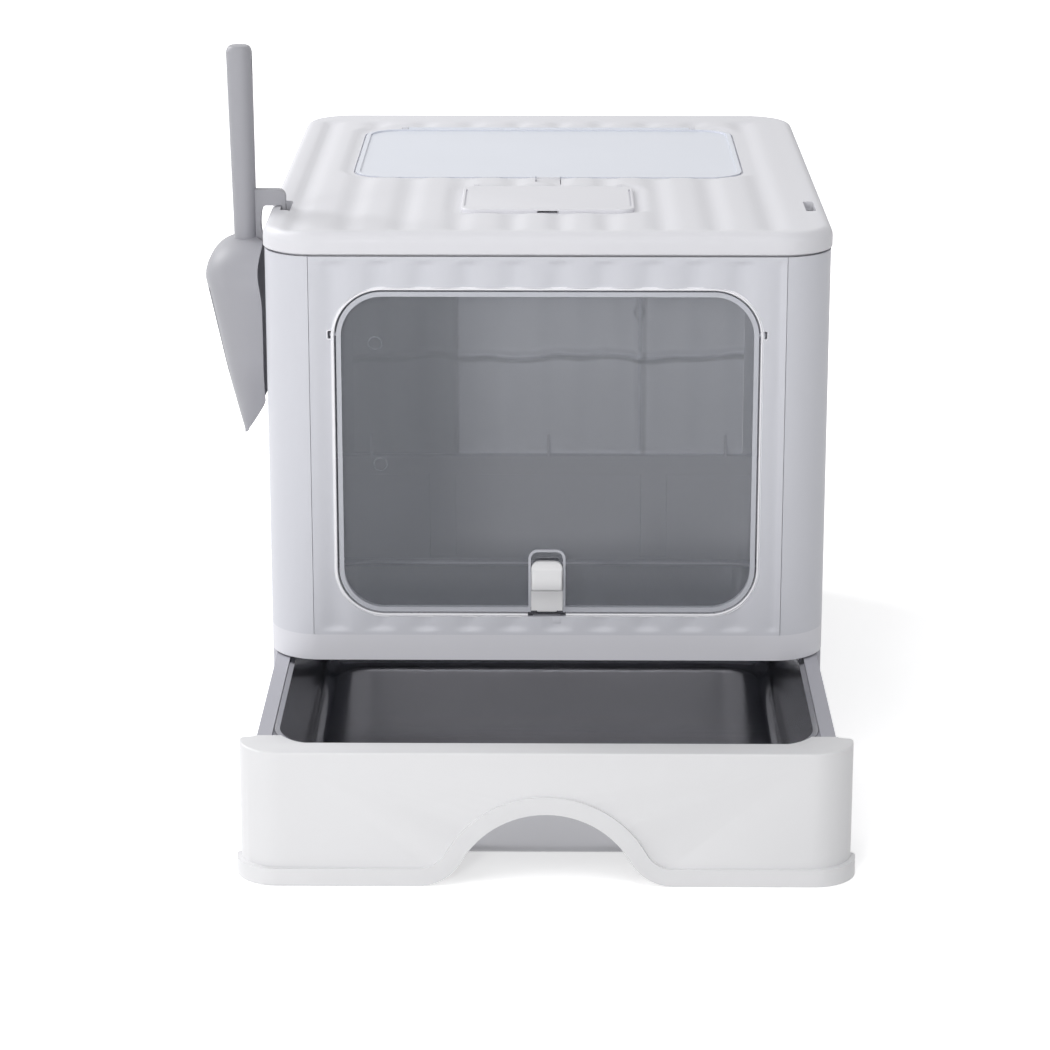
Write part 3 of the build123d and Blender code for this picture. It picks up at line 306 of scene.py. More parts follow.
def carved(mesh, *tools):
    """The mesh with each closed tool mesh taken out of it by an exact boolean."""
    blank = bpy.data.objects.new("blank", mesh)
    bpy.context.scene.collection.objects.link(blank)
    made = [blank]
    for tool in tools:
        cutter = bpy.data.objects.new("cutter", tool)
        bpy.context.scene.collection.objects.link(cutter)
        cut = blank.modifiers.new("cut", "BOOLEAN")
        cut.solver = "EXACT"
        cut.object = cutter
        made.append(cutter)
    bpy.context.view_layer.update()
    result = bpy.data.meshes.new_from_object(blank.evaluated_get(bpy.context.evaluated_depsgraph_get()))
    for thing in made:
        bpy.data.objects.remove(thing)
    return result


def piece(name, mesh, node, finish=None, sharp=32):
    """Puts a finished mesh in the scene in the place of a CAD node, on that node's body."""
    mesh.materials.clear()
    mesh.materials.append(finish or finishes[node])
    mesh.polygons.foreach_set("material_index", np.zeros(len(mesh.polygons), np.int32))
    mesh.shade_smooth()
    mesh.set_sharp_from_angle(angle=math.radians(sharp))
    thing = bpy.data.objects.new(name, mesh)
    bpy.context.scene.collection.objects.link(thing)
    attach(thing, body_of[node])
    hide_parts(node)
    return thing


def softened(node, edge, sharp=30):
    """A node's own shape with its doubles merged, its flat faces joined and its edges rounded."""
    mesh = frame["nodes"][node].data.copy()
    work = bmesh.new()
    work.from_mesh(mesh)
    bmesh.ops.remove_doubles(work, verts=work.verts, dist=0.002 * MM)
    bmesh.ops.dissolve_limit(work, angle_limit=math.radians(0.4), verts=work.verts, edges=work.edges)
    work.to_mesh(mesh)
    work.free()
    thing = piece(node + "_moulding", mesh, node, sharp=sharp)
    if edge:
        bevel = thing.modifiers.new("edge", "BEVEL")
        bevel.width = edge * MM
        bevel.segments = 2
        bevel.limit_method = "ANGLE"
        bevel.angle_limit = math.radians(sharp)
        bevel.use_clamp_overlap = True
        bevel.harden_normals = True
    return thing


def prism(width, depth, radius, low, high, middle):
    """Upright rounded block for a cut."""
    return carried(outline(width, depth, radius), [(0, low), (0, high)], flat, middle, closed=False)


# ---- upright walls ---------------------------------------------------------------------

def dip(place, valleys, sharpness=1.35):
    """How far down a corrugation is, from 0 on a crest to 1 in a valley: a raised cosine of
    the place's share of the way from one valley to the next, to a power that widens crests."""
    count = np.arange(len(valleys))
    phase = np.interp(place, valleys, count)
    step = valleys[1] - valleys[0]
    phase = np.where(place < valleys[0], (place - valleys[0]) / step, phase)
    last_step = valleys[-1] - valleys[-2]
    phase = np.where(place > valleys[-1], count[-1] + (place - valleys[-1]) / last_step, phase)
    return (0.5 + 0.5 * np.cos(2 * math.pi * phase)) ** sharpness


def wall_rows(step):
    """Heights up a wall, close together near its ends where the waves fade."""
    near = np.array([0, 0.8, 1.8, 2.6, 3.4, 4.4, 5.6, 7.2, 9.5])
    middle = np.arange(wall_low + 12, wall_high - 11, step)
    return np.concatenate([wall_low + near, middle, (wall_high - near)[::-1]])


def end_fade(z):
    """The waves run out over a few millimetres below the top edge and above the foot."""
    return smooth_step((wall_high - z - 1.8) / 5) * smooth_step((z - wall_low - 1.8) / 5)


SEAM_X = 171.3
wave_valleys = WAVE_PHASE + WAVE_PITCH * np.arange(-7, 7)


def front_sheet():
    """Front wall: y = front + depth * dip(x) * fade(z), with the same sheet WALL behind it."""
    x = np.linspace(-SEAM_X, SEAM_X, 190)
    z = wall_rows(14.0)
    xx, zz = np.meshgrid(x, z)
    edge = smooth_step((SEAM_X - np.abs(xx)) / 6)
    y = front + WAVE_DEPTH * dip(xx, wave_valleys) * end_fade(zz) * edge
    outer = np.stack([xx, y, zz], -1)
    return closed_sheet(outer, outer + [0, WALL, 0])


OPENING = (door_half * 2 + 4, 244.0, 35.0)
FRAME_WIDTH = 3.5
frame_outline = outline(OPENING[0], OPENING[1], OPENING[2], 16)
hole = carried(outline(OPENING[0] + 3, OPENING[1] + 3, OPENING[2] + 1.5, 16),
               [(0, front - 5), (0, front + 12)], upright, (0, door_mid_z), closed=False)
PIVOT_X = OPENING[0] / 2 + 2.4
PIVOT_Z = door_high[2] - 31.5
notches = [carried(outline(3.6, 6.6, 1.2, 3), [(0, front - 2), (0, front + 12)], upright,
                   (side * PIVOT_X, PIVOT_Z), closed=False) for side in (-1, 1)]
piece("front_wall_sheet", carved(mesh_of("front_wall_sheet", *front_sheet()), mesh_of("hole", *hole),
                                 mesh_of("notches", *joined(*notches))), "front_panel")

# The bead round the door opening: a half-round edge that catches the light, then a shallow step. It is drawn
# in a near-white copy of the wall plastic, which is a painted highlight.
bead_turn = np.linspace(0, math.pi, 9)
bead_arc = np.column_stack([-0.75 * np.cos(bead_turn), front + 0.8 - 0.8 * np.sin(bead_turn)]) + [0.05, 0]
bead_step = [(0.8, front + 1.1), (1.4, front + 1.1), (1.8, front + 0.9), (1.8, front + 7)]
bead_profile = np.concatenate([[(-0.7, front + 7), (-0.7, front + 0.75)], bead_arc, bead_step])


def open_bead(shape, profile, gap):
    """The profile carried round the outline as carried() does, but from one side of a gap in the
    middle of the lower edge round to the other side, with both ends capped."""
    start = 3 * len(shape[0]) // 4
    points, normals = (np.roll(part, -start, axis=0) for part in shape)
    points = np.concatenate([[[gap, points[0, 1]]], points, [[-gap, points[-1, 1]]]])
    normals = np.concatenate([[[0, -1]], normals, [[0, -1]]])
    u = points[:, :1] + normals[:, :1] * profile[None, :, 0]
    v = points[:, 1:] + normals[:, 1:] * profile[None, :, 0] + door_mid_z
    solid = upright(u, v, np.broadcast_to(profile[None, :, 1], u.shape))
    rows, columns = u.shape
    faces = grid_faces(rows, columns, wrap_columns=True)
    faces += [tuple(range(columns))[::-1], tuple((rows - 1) * columns + i for i in range(columns))]
    return solid.reshape(-1, 3), faces


LATCH_GAP = 14.0
piece("door_frame", mesh_of("door_frame", *open_bead(frame_outline, bead_profile, LATCH_GAP)), "front_panel",
      bead_painted_highlight_plastic)
rim_profile = [(0, front + 4), (0, front + 0.4), (0.4, front + 0.1), (0.8, front + 0.4), (0.8, front + 4)]
# The rims round the pivot seats carry the same painted highlight.
notch_rims = [carried(outline(3.0, 6.0, 1.0, 3), rim_profile, upright, (side * PIVOT_X, PIVOT_Z))
              for side in (-1, 1)]
piece("pivot_seat_rims", mesh_of("pivot_seat_rims", *joined(*notch_rims)), "front_panel", bead_painted_highlight_plastic)

KEEPER = (20.8, 5.5)
keeper = carried(outline(KEEPER[0], KEEPER[1], 1.2, 3), soft_profile(front + 1.2, front + 6.8, 0.3), upright,
                 (0, door_low[2] - 3.4 - KEEPER[1] / 2), closed=False)
piece("latch_keeper", mesh_of("latch_keeper", *keeper), "front_panel")


def side_sheet(side):
    """Side wall carried along its plan path: a corner arc, the straight side and the other
    corner arc. The outer face is the path moved in by depth * dip(y) * fade(z)."""
    centre = half_width - CORNER
    seam_angle = math.asin((SEAM_X + 0.4 - centre) / CORNER)
    turn = np.linspace(seam_angle, math.pi / 2, 14)
    straight = np.arange(front + CORNER + 2.2, back - CORNER - 1.5, 2.4)
    px = np.concatenate([centre + CORNER * np.sin(turn), np.full(len(straight), half_width),
                         centre + CORNER * np.sin(turn[::-1])])
    py = np.concatenate([front + CORNER - CORNER * np.cos(turn), straight,
                         back - CORNER + CORNER * np.cos(turn[::-1])])
    nx = np.concatenate([np.sin(turn), np.ones(len(straight)), np.sin(turn[::-1])])
    ny = np.concatenate([-np.cos(turn), np.zeros(len(straight)), np.cos(turn[::-1])])
    z = wall_rows(14.0)
    limit = back - CORNER
    valleys = WAVE_PITCH * np.arange(-7, 8)
    run_out = smooth_step((limit - np.abs(py)) / 12)
    fold = 0.8 * np.exp(-(py / 1.2) ** 2)
    inward = (WAVE_DEPTH * dip(py, valleys) * run_out + fold)[None, :] * end_fade(z)[:, None]
    outer = np.stack([side * (px[None, :] - nx * inward), py[None, :] - ny * inward,
                      np.broadcast_to(z[:, None], inward.shape)], -1)
    inner = outer - np.stack([side * nx * WALL, ny * WALL, np.zeros(len(nx))], -1)
    return closed_sheet(outer, inner)


piece("left_wall_sheet", mesh_of("left_wall_sheet", *side_sheet(-1)), "left_wall")
piece("right_wall_sheet", mesh_of("right_wall_sheet", *side_sheet(1)), "right_wall")

CREASE_X = 79.5
CREASE_Z = 206.0


def rear_sheet():
    """Rear wall: the front's waves turned round, plus fold marks on its inner face: a ridge and
    groove pair down each vertical fold, a wandering ridge across, and a lens-shaped pucker.
    Its second result is painted light and shade for each point, multiplied into the colour: on
    the inner face, 1 with a painted shadow over the left panel, a flat-topped bell exp(-t^4) of
    painted shade under the wandering ridge and beside the right fold, narrower painted shade down
    the left fold and round the pucker, and painted highlights on the ridges and over the right
    panel; on the outer face a flat 0.76."""
    x = np.linspace(-SEAM_X, SEAM_X, 230)
    z = np.concatenate([wall_rows(300.0)[:9], np.arange(wall_low + 12, CREASE_Z - 14, 3.0),
                        np.arange(CREASE_Z - 13, CREASE_Z + 12, 1.2), np.arange(CREASE_Z + 14, 250, 2.0),
                        np.arange(253, wall_high - 11, 5.0), wall_rows(300.0)[-9:]])
    xx, zz = np.meshgrid(x, z)
    y = back - WAVE_DEPTH * dip(xx, -wave_valleys[::-1]) * end_fade(zz)
    bumps = np.zeros_like(xx)
    for fold, height in ((-CREASE_X, 0.9), (CREASE_X, 2.6)):
        t = (xx - fold) / 1.7
        bumps += height * (np.exp(-t * t / 2) - 0.4 * t * np.exp(0.5 - t * t / 2))
    wander = CREASE_Z + 1.6 * np.sin(xx / 21) + 0.9 * np.sin(xx / 8.5 + 1)
    t = (zz - wander) / 2.0
    strength = 1.2 + 2.6 * smooth_step((xx + CREASE_X + 10) / 60)
    bumps += strength * (np.exp(-t * t / 2) + 0.4 * t * np.exp(0.5 - t * t / 2))
    pucker = np.exp(-((zz - 244) / 6.5) ** 2)
    bumps += 3.0 * pucker * np.exp(-((xx - CREASE_X) / 3.4) ** 2)
    bumps += 0.5 * np.sin(xx / 47 + 0.6) * np.sin(zz / 61)
    outer = np.stack([xx, y, zz], -1)
    inner = np.stack([xx, y - WALL - bumps * end_fade(zz), zz], -1)
    # Painted shadow: the left panel is darker, and bands of painted shade run under the wandering ridge,
    # beside the right fold, down the left fold and round the pucker.
    right = smooth_step((xx + CREASE_X) / 3 + 0.5)
    below = (zz - wander + 4.2) / (1.9 + 0.5 * np.sin(xx / 13))
    beside = (xx - CREASE_X - 4.2) / 2.4
    shade = (0.72 + 0.28 * right) * (1 - (0.12 + 0.33 * right) * np.exp(-below ** 4))
    shade = shade * (1 - 0.30 * np.exp(-beside ** 4)) * (1 - 0.18 * np.exp(-((xx + CREASE_X) / 1.4) ** 2))
    shade = shade * (1 - 0.35 * pucker * np.exp(-((np.abs(xx - CREASE_X) - 4 * pucker) / 1.2) ** 2))
    # Painted highlights along the wandering ridge and the right fold, and painted light over the right panel.
    crest = (0.05 + 0.25 * right) * np.exp(-((zz - wander - 0.6) / 1.2) ** 2)
    crest = crest + 0.25 * np.exp(-((xx - CREASE_X) / 1.2) ** 2)
    shade = shade * (1 + np.maximum(crest, 0.12 * right))
    # The outer face gets a flat 0.76 and none of the painted light and shade.
    outside = np.full_like(shade, 0.76)
    return closed_sheet(outer, inner), np.concatenate([outside, shade[:, ::-1]], axis=1).reshape(-1)


# The rear wall's painted light and shade is stored on its points for the material.
rear_surface, painted_fold_shade = rear_sheet()
rear_mesh = mesh_of("rear_wall_sheet", *rear_surface)
rear_mesh.attributes.new("painted_fold_shade", "FLOAT", "POINT").data.foreach_set("value", painted_fold_shade)
piece("rear_wall_sheet", rear_mesh, "rear_wall", rear_painted_shade_plastic)


# ---- lid ---------------------------------------------------------------------------------

LID_CORNER = 39.0
LID_FILLET = 7.5
LID_SKIN = 2.6
LID_CREST = 15.8
LID_WAVE = 2.5
UNDERSIDE = lid_bottom + 9.0
# Ten valleys 39.6 mm apart and a middle one, 34.3 mm from its neighbours, all 8.7 mm right of centre.
lid_steps = 34.3 + 39.6 * np.arange(5)
lid_valleys = 8.7 + np.concatenate([-lid_steps[::-1], [0.0], lid_steps])
lid_half_x = half_width + 1.0
lid_half_y = (back - front) / 2 + 1.0
HATCH = (303.0, 224.0, 28.0, front + 231.0 + 112.0)
FLAP = (128.6, 94.0, 10.0, front + 87.0 + 47.0)


def inside(x, y, half_x, half_y, radius):
    """Distance inside a rounded rectangle centred on 0: positive within it, negative outside."""
    qx = np.abs(x) - (half_x - radius)
    qy = np.abs(y) - (half_y - radius)
    return radius - np.hypot(np.maximum(qx, 0), np.maximum(qy, 0)) - np.minimum(np.maximum(qx, qy), 0)


def lid_height(x, y):
    """Top of the lid: crest - depth * dip(x), faded to the rim at the field's four borders, and
    brought down to the valleys within a few millimetres of the hatch and the flap; near the
    outline the height follows a quarter circle."""
    from_front = y - front
    fade = smooth_step((from_front - 5) / 19) * smooth_step((487 - from_front) / 14)
    fade = fade * smooth_step((192.5 - np.abs(x)) / 7)
    rise = 1 - dip(x, lid_valleys, 2.2) * fade
    for width, depth, radius, middle in (HATCH, FLAP):
        away = -inside(x, y - middle, width / 2 + 1, depth / 2 + 1, radius)
        rise = rise * smooth_step((away - 2.5) / 9)
    top = lid_bottom + LID_CREST - LID_WAVE * (1 - rise)
    step = np.clip(inside(x, y, lid_half_x, lid_half_y, LID_CORNER), 0, LID_FILLET)
    drop = LID_FILLET - np.sqrt(np.maximum(LID_FILLET ** 2 - (LID_FILLET - step) ** 2, 0))
    return top - drop


def lid_shell():
    """Rows across the lid from front to back, each as wide as the rounded outline there, joined
    to a skirt that goes down, in, and up again to the flat underside."""
    turn = LID_CORNER * (1 - np.cos(np.linspace(0, math.pi / 2, 17)))
    y = np.concatenate([-lid_half_y + turn, np.arange(-lid_half_y + 42, lid_half_y - 40, 3.0),
                        lid_half_y - turn[::-1]])
    past = np.maximum(np.abs(y) - (lid_half_y - LID_CORNER), 0)
    row_half = lid_half_x - LID_CORNER + np.sqrt(np.maximum(LID_CORNER ** 2 - past ** 2, 0))
    edge = LID_FILLET * (1 - np.cos(np.linspace(0, math.pi / 2, 8)))
    share = np.linspace(-1, 1, 132)
    inner = row_half[:, None] - LID_FILLET
    border = edge[:-1]
    x = np.concatenate([-row_half[:, None] + border, share * inner, row_half[:, None] - border[::-1]], axis=1)
    yy = np.broadcast_to(y[:, None], x.shape)
    top = np.stack([x, yy, lid_height(x, yy)], -1)
    rows, columns = x.shape
    number = np.arange(rows * columns).reshape(rows, columns)
    rim = np.concatenate([number[0], number[1:, -1], number[-1, -2::-1], number[-2:0:-1, 0]])
    loop = top.reshape(-1, 3)[rim]
    q = np.maximum(np.abs(loop[:, :2]) - [lid_half_x - LID_CORNER, lid_half_y - LID_CORNER], 0)
    normal = np.sign(loop[:, :2]) * q / np.maximum(np.linalg.norm(q, axis=1, keepdims=True), 1e-9)
    skirt_profile = ((0, lid_bottom + 0.6), (-0.6, lid_bottom), (-LID_SKIN, lid_bottom),
                     (-LID_SKIN, UNDERSIDE))
    rings = []
    for offset, level in skirt_profile:
        rings.append(np.column_stack([loop[:, :2] + offset * normal, np.full(len(rim), level)]))
    start = rows * columns
    count = len(rim)
    levels = np.concatenate([rim[None, :], start + np.arange(4 * count).reshape(4, count)])
    nxt = np.roll(levels, -1, axis=1)
    skirt = np.stack([levels[:-1], levels[1:], nxt[1:], nxt[:-1]], -1).reshape(-1, 4)
    closing = tuple((start + 3 * count + np.arange(count)).tolist())
    faces = grid_faces(rows, columns) + skirt.tolist() + [closing]
    return np.concatenate([top.reshape(-1, 3)] + rings), faces


SEAT = lid_bottom + 11.6
FLAP_SEAT = lid_bottom + 13.4
ABOVE = lid_top + 5
HINGE_Y = front + 231 + 224 + 2.2
FLAP_HINGE_Y = front + 181 + 1.7
HOOK_SLOT_X = 193.7
# Width, depth, corner radius and middle in Y of each cut.
SLOT = (7.5, 37.0, 2.0, front + 84.5 + 18.5)
HATCH_HOLE = (289, 152, 22, front + 265 + 76)
POCKET_HOLE = (112, 78, 6, FLAP[3])
CATCH_WINDOW = (19.8, 30.4, 1.5, front + 216.6)
HATCH_PAD = (248, 16.6, 1.0, HINGE_Y - 3.9)
FLAP_PAD = (118, 8.0, 1.0, FLAP_HINGE_Y)


def cut_block(cut, low, middle_x=0, grow=(0, 0, 0)):
    """A cut's upright block from low to well above the lid, a little larger where grow says so."""
    width, depth, radius, middle_y = cut
    return prism(width + grow[0], depth + grow[1], radius + grow[2], low, ABOVE, (middle_x, middle_y))


THROUGH = UNDERSIDE - 2
seats = joined(
    cut_block(HATCH, SEAT, grow=(2.8, 2.8, 0.5)),
    cut_block(FLAP, FLAP_SEAT, grow=(3.4, 2.0, 0.8)),
    cut_block(SLOT, THROUGH, -HOOK_SLOT_X),
    cut_block(SLOT, THROUGH, HOOK_SLOT_X),
)
holes = joined(
    cut_block(HATCH_HOLE, THROUGH),
    cut_block(POCKET_HOLE, THROUGH),
    cut_block(CATCH_WINDOW, THROUGH),
    cut_block(HATCH_PAD, SEAT),
    cut_block(FLAP_PAD, FLAP_SEAT),
)
lid_mesh = carved(mesh_of("lid_shell", *lid_shell()), mesh_of("seats", *seats), mesh_of("holes", *holes))
piece("lid_cover", lid_mesh, "lid", sharp=38)

LIP_FOOT, LIP_HEAD, LIP_WALL = lid_bottom - 8, UNDERSIDE + 0.4, 1.8
lip_profile = [(0, LIP_FOOT), (0, LIP_HEAD), (-LIP_WALL, LIP_HEAD), (-LIP_WALL, LIP_FOOT)]
lip = carried(outline(400.4, 510.4, 33.2), lip_profile, flat)
piece("lid_locating_lip", mesh_of("lid_locating_lip", *lip), "lid")


def hinge_ears(half, y, z, seat, radius=1.7, width=4.1, gap=0.6):
    """Round-topped ears past each end of a barrel: a half circle on a straight leg, drawn out
    along X."""
    angle = np.linspace(0, math.pi, 13)
    shape_y = np.concatenate([[y + radius], y + radius * np.cos(angle), [y - radius]])
    shape_z = np.concatenate([[seat - 0.5], z + radius * np.sin(angle), [seat - 0.5]])
    count = len(shape_y)
    ears = []
    for side in (-1, 1):
        x = np.array([side * (half + gap), side * (half + gap + width)])
        points = np.stack(np.broadcast_arrays(x[:, None], shape_y, shape_z), -1)
        faces = grid_faces(2, count, wrap_columns=True)
        faces += [tuple(range(count)), tuple(range(count, 2 * count))]
        ears.append((points, faces))
    return joined(*ears)


ears = joined(hinge_ears(118, HINGE_Y, SEAT + 2.7, SEAT),
              hinge_ears(52, FLAP_HINGE_Y, FLAP_SEAT + 2.0, FLAP_SEAT))
piece("lid_hinge_ears", mesh_of("lid_hinge_ears", *ears), "lid")


# ---- scoop ---------------------------------------------------------------------------------

SCOOP_Y = (scoop_low[1] + scoop_high[1]) / 2
RIM_X = -half_width - 4.2
BLADE_TOP = lid_top - 23.6
BLADE_TIP = BLADE_TOP - 148.0
BLADE_LEFT = -half_width - 48.7
TIP_X = BLADE_LEFT + 26.5
SHOULDER = 26.0


def blade_sections(wall):
    """Blade of the scoop as U-shaped sections stacked from tip to crown. Each section is a
    superellipse |x|^p + |y|^p = 1 cut at the open side; its depth follows the straight floor
    and the domed shoulder, and its width the shoulders and the closing point."""
    crowding = np.sin(np.linspace(0, math.pi / 2, 19)[1:])
    up = np.concatenate([np.linspace(0, 0.82, 40), 0.82 + 0.18 * crowding])
    z = BLADE_TIP + (BLADE_TOP - BLADE_TIP) * up
    turn = BLADE_TOP - SHOULDER
    straight = BLADE_LEFT + (TIP_X - BLADE_LEFT) * (turn - z) / (turn - BLADE_TIP)
    lift = np.clip((z - turn) / SHOULDER, 0, 1)
    left = np.where(z < turn, straight, BLADE_LEFT + SHOULDER * (1 - np.sqrt(1 - lift ** 2)))
    foot = np.clip((z - BLADE_TIP) / 30, 0, 1)
    rim = TIP_X + (RIM_X - TIP_X) * foot ** 0.9 - 3.2 * np.exp(-((z - 376) / 16) ** 2)
    grow = np.clip((z - BLADE_TIP) / 66, 0, 1)
    half = 9 + 41 * np.sin(grow * math.pi / 2) ** 0.85
    crown = np.clip((z - (BLADE_TOP - 34)) / 34, 0, 1)
    half = half * (0.30 + 0.70 * np.sqrt(1 - 0.985 * crown ** 2.2))
    theta = np.linspace(-math.pi / 2, math.pi / 2, 41)
    power = 2 / 3.4
    cy = np.sign(np.sin(theta)) * np.abs(np.sin(theta)) ** power
    cx = np.abs(np.cos(theta)) ** power
    depth = np.maximum(rim - left, 0.6)
    x = rim[:, None] - (depth[:, None] - wall) * cx
    y = SCOOP_Y + np.maximum(half - wall, 1.0)[:, None] * cy
    level = np.broadcast_to(z[:, None], x.shape)
    return np.stack([x, y, level - (wall * crown ** 3)[:, None] if wall else level], -1)


def tapered_bar(sections, centre_x, centre_y, half_x, half_y, levels, power=2.4):
    """Rounded bar: superellipse rings at each level, with both ends closed."""
    angle = np.linspace(0, 2 * math.pi, sections, endpoint=False)
    cx = np.sign(np.cos(angle)) * np.abs(np.cos(angle)) ** (2 / power)
    cy = np.sign(np.sin(angle)) * np.abs(np.sin(angle)) ** (2 / power)
    x = np.asarray(centre_x)[:, None] + np.asarray(half_x)[:, None] * cx
    y = np.asarray(centre_y)[:, None] + np.asarray(half_y)[:, None] * cy
    points = np.stack([x, y, np.broadcast_to(np.asarray(levels)[:, None], x.shape)], -1)
    faces = grid_faces(len(levels), sections, wrap_columns=True)
    faces += [tuple(range(sections)), tuple((len(levels) - 1) * sections + i for i in range(sections))]
    return points, faces


blade = closed_sheet(blade_sections(0.0), blade_sections(2.4))
SIFT_PITCH = 10.5
SIFT_WIDTH = 5.0
slot_cuts = []
for number in range(-3, 4):
    high = BLADE_TOP - SHOULDER - 6
    low = high - 78 + 0.45 * abs(SIFT_PITCH * number)
    slot_cuts.append(carried(outline(60, SIFT_WIDTH, 1.2, 3), [(0, low), (0, high)], flat,
                             (TIP_X - 32.0, SCOOP_Y + SIFT_PITCH * number), closed=False))
crown_cap = blade_sections(0.0)[-1]
blade_mesh = carved(mesh_of("scoop_blade", *blade), mesh_of("scoop_slots", *joined(*slot_cuts)))
piece("scoop_blade", blade_mesh, "scoop", sharp=40)

cap_share = np.linspace(1, 0.02, 8)
cap_far, cap_near = crown_cap[:, 0].max(), crown_cap[:, 0].min()
cap_middle = np.array([cap_far - 0.5 * (cap_far - cap_near), SCOOP_Y])
cap_rings = []
for s in cap_share:
    cap_level = np.full(len(crown_cap), BLADE_TOP - 0.01 + 0.8 * (1 - s ** 2))
    cap_rings.append(np.column_stack([cap_middle + s * (crown_cap[:, :2] - cap_middle), cap_level]))
cap_top = np.stack(cap_rings)
piece("scoop_crown", mesh_of("scoop_crown", *closed_sheet(cap_top, cap_top - [0, 0, 2.2])), "scoop", sharp=60)

HANDLE_X = -half_width - 19.4
handle_levels = np.concatenate([[BLADE_TOP - 5, BLADE_TOP + 20, BLADE_TOP + 70, BLADE_TOP + 120],
                                scoop_high[2] - 6 + 6 * np.sin(np.linspace(0, math.pi / 2, 9))])
handle_share = np.clip((handle_levels - BLADE_TOP) / (scoop_high[2] - BLADE_TOP), 0, 1)
past_end = np.maximum(handle_levels - (scoop_high[2] - 6), 0)
end_round = np.sqrt(np.clip(1 - (past_end / 6.05) ** 2, 0, 1))
half_thick = (8.4 + 1.2 * handle_share) * (0.62 + 0.38 * end_round)
half_broad = 11.0 * (0.68 + 0.32 * end_round)
handle = tapered_bar(40, HANDLE_X - 2.1 * handle_share, np.full(len(handle_share), SCOOP_Y),
                     half_thick, half_broad, handle_levels)
hang_hole = carried(outline(7.0, 15.0, 3.4, 6), [(0, -half_width - 40), (0, -half_width)], sideways,
                    (SCOOP_Y, scoop_high[2] - 15), closed=False)
handle_mesh = carved(mesh_of("scoop_handle", *handle), mesh_of("hang_hole", *hang_hole))
piece("scoop_handle", handle_mesh, "scoop", sharp=50)


PRONG_GAP = 0.35
PRONG_WIDTH = 3.0


def hook_arm():
    """Hook: the outline of the arm, its rounded end, the prong and the hollow brace, given in
    X and Z by short arcs, carried through its width with a small rounded edge."""
    low = lid_top + 0.4
    high = low + 11.8
    near = -HOOK_SLOT_X - SLOT[0] / 2 + PRONG_GAP
    far = near + PRONG_WIDTH
    bend = np.linspace(math.pi / 2, 0, 9)
    end_x = far - 6 + 6 * np.cos(bend)
    end_z = high - 6 + 6 * np.sin(bend)
    hollow = np.linspace(0, math.pi, 11)
    brace_x = RIM_X - 3.5 * np.sin(hollow)
    brace_z = low + (BLADE_TOP - 2.4 - low) * (1 - np.cos(hollow)) / 2
    x = np.concatenate([[HANDLE_X], end_x, [far, near, near], brace_x, [HANDLE_X]])
    z = np.concatenate([[high], end_z, [lid_top - 14, lid_top - 14, low], brace_z, [BLADE_TOP - 2.4]])
    count = len(x)
    level = SCOOP_Y + np.array([-4.5, 4.5])
    points = np.stack(np.broadcast_arrays(x, level[:, None], z), -1)
    faces = grid_faces(2, count, wrap_columns=True)
    faces += [tuple(range(count)), tuple(range(count, 2 * count))]
    return points, faces


arm = piece("scoop_hook", mesh_of("scoop_hook", *hook_arm()), "scoop", sharp=35)
rounding = arm.modifiers.new("edge", "BEVEL")
rounding.width = 0.8 * MM
rounding.segments = 2
rounding.angle_limit = math.radians(40)


# ---- mouldings that keep the shape of their node ----------------------------------------------

for node, edge in (("collar_ring", 0.4), ("base_shell", 0.5), ("drawer_front", 0.7), ("drawer_frame", 0.5),
                   ("flap_cover", 0.4), ("hatch_panel", 0.4), ("hatch_catch", 0.3),
                   ("litter_pan", 0.0), ("latch_backplate", 0.2), ("pocket_tray", 0.3)):
    softened(node, edge)


def window_of(node, glass):
    """The node's broad front and back faces get the clear finish; its thick lips keep their own.
    Both broad faces lie at the depth where most of the faces' area with that normal is."""
    thing = softened(node, 0.0)
    mesh = thing.data
    mesh.materials.append(glass)
    count = len(mesh.polygons)
    area, middle, normal = np.zeros(count), np.zeros(3 * count), np.zeros(3 * count)
    mesh.polygons.foreach_get("area", area)
    mesh.polygons.foreach_get("center", middle)
    mesh.polygons.foreach_get("normal", normal)
    depth, facing = middle[1::3], normal[1::3]
    clear = np.zeros(count, bool)
    for side in (-1, 1):
        broad = facing * side > 0.95
        level = depth[broad][np.argmax(area[broad])]
        clear |= broad & (np.abs(depth - level) < 0.1 * MM)
    mesh.polygons.foreach_set("material_index", clear.astype(np.int32))
    return thing


window_of("door_pane", door_plastic)

SLIDER = (23.0, 37.4, 6.0)
SLIDER_LOW = door_low[2] + 1.8
SLIDER_FACE = (door_low[1] + door_high[1]) / 2 - 1.0 - 0.15
SLIDER_THICK = 3.2
THUMB_REACH = 6.0


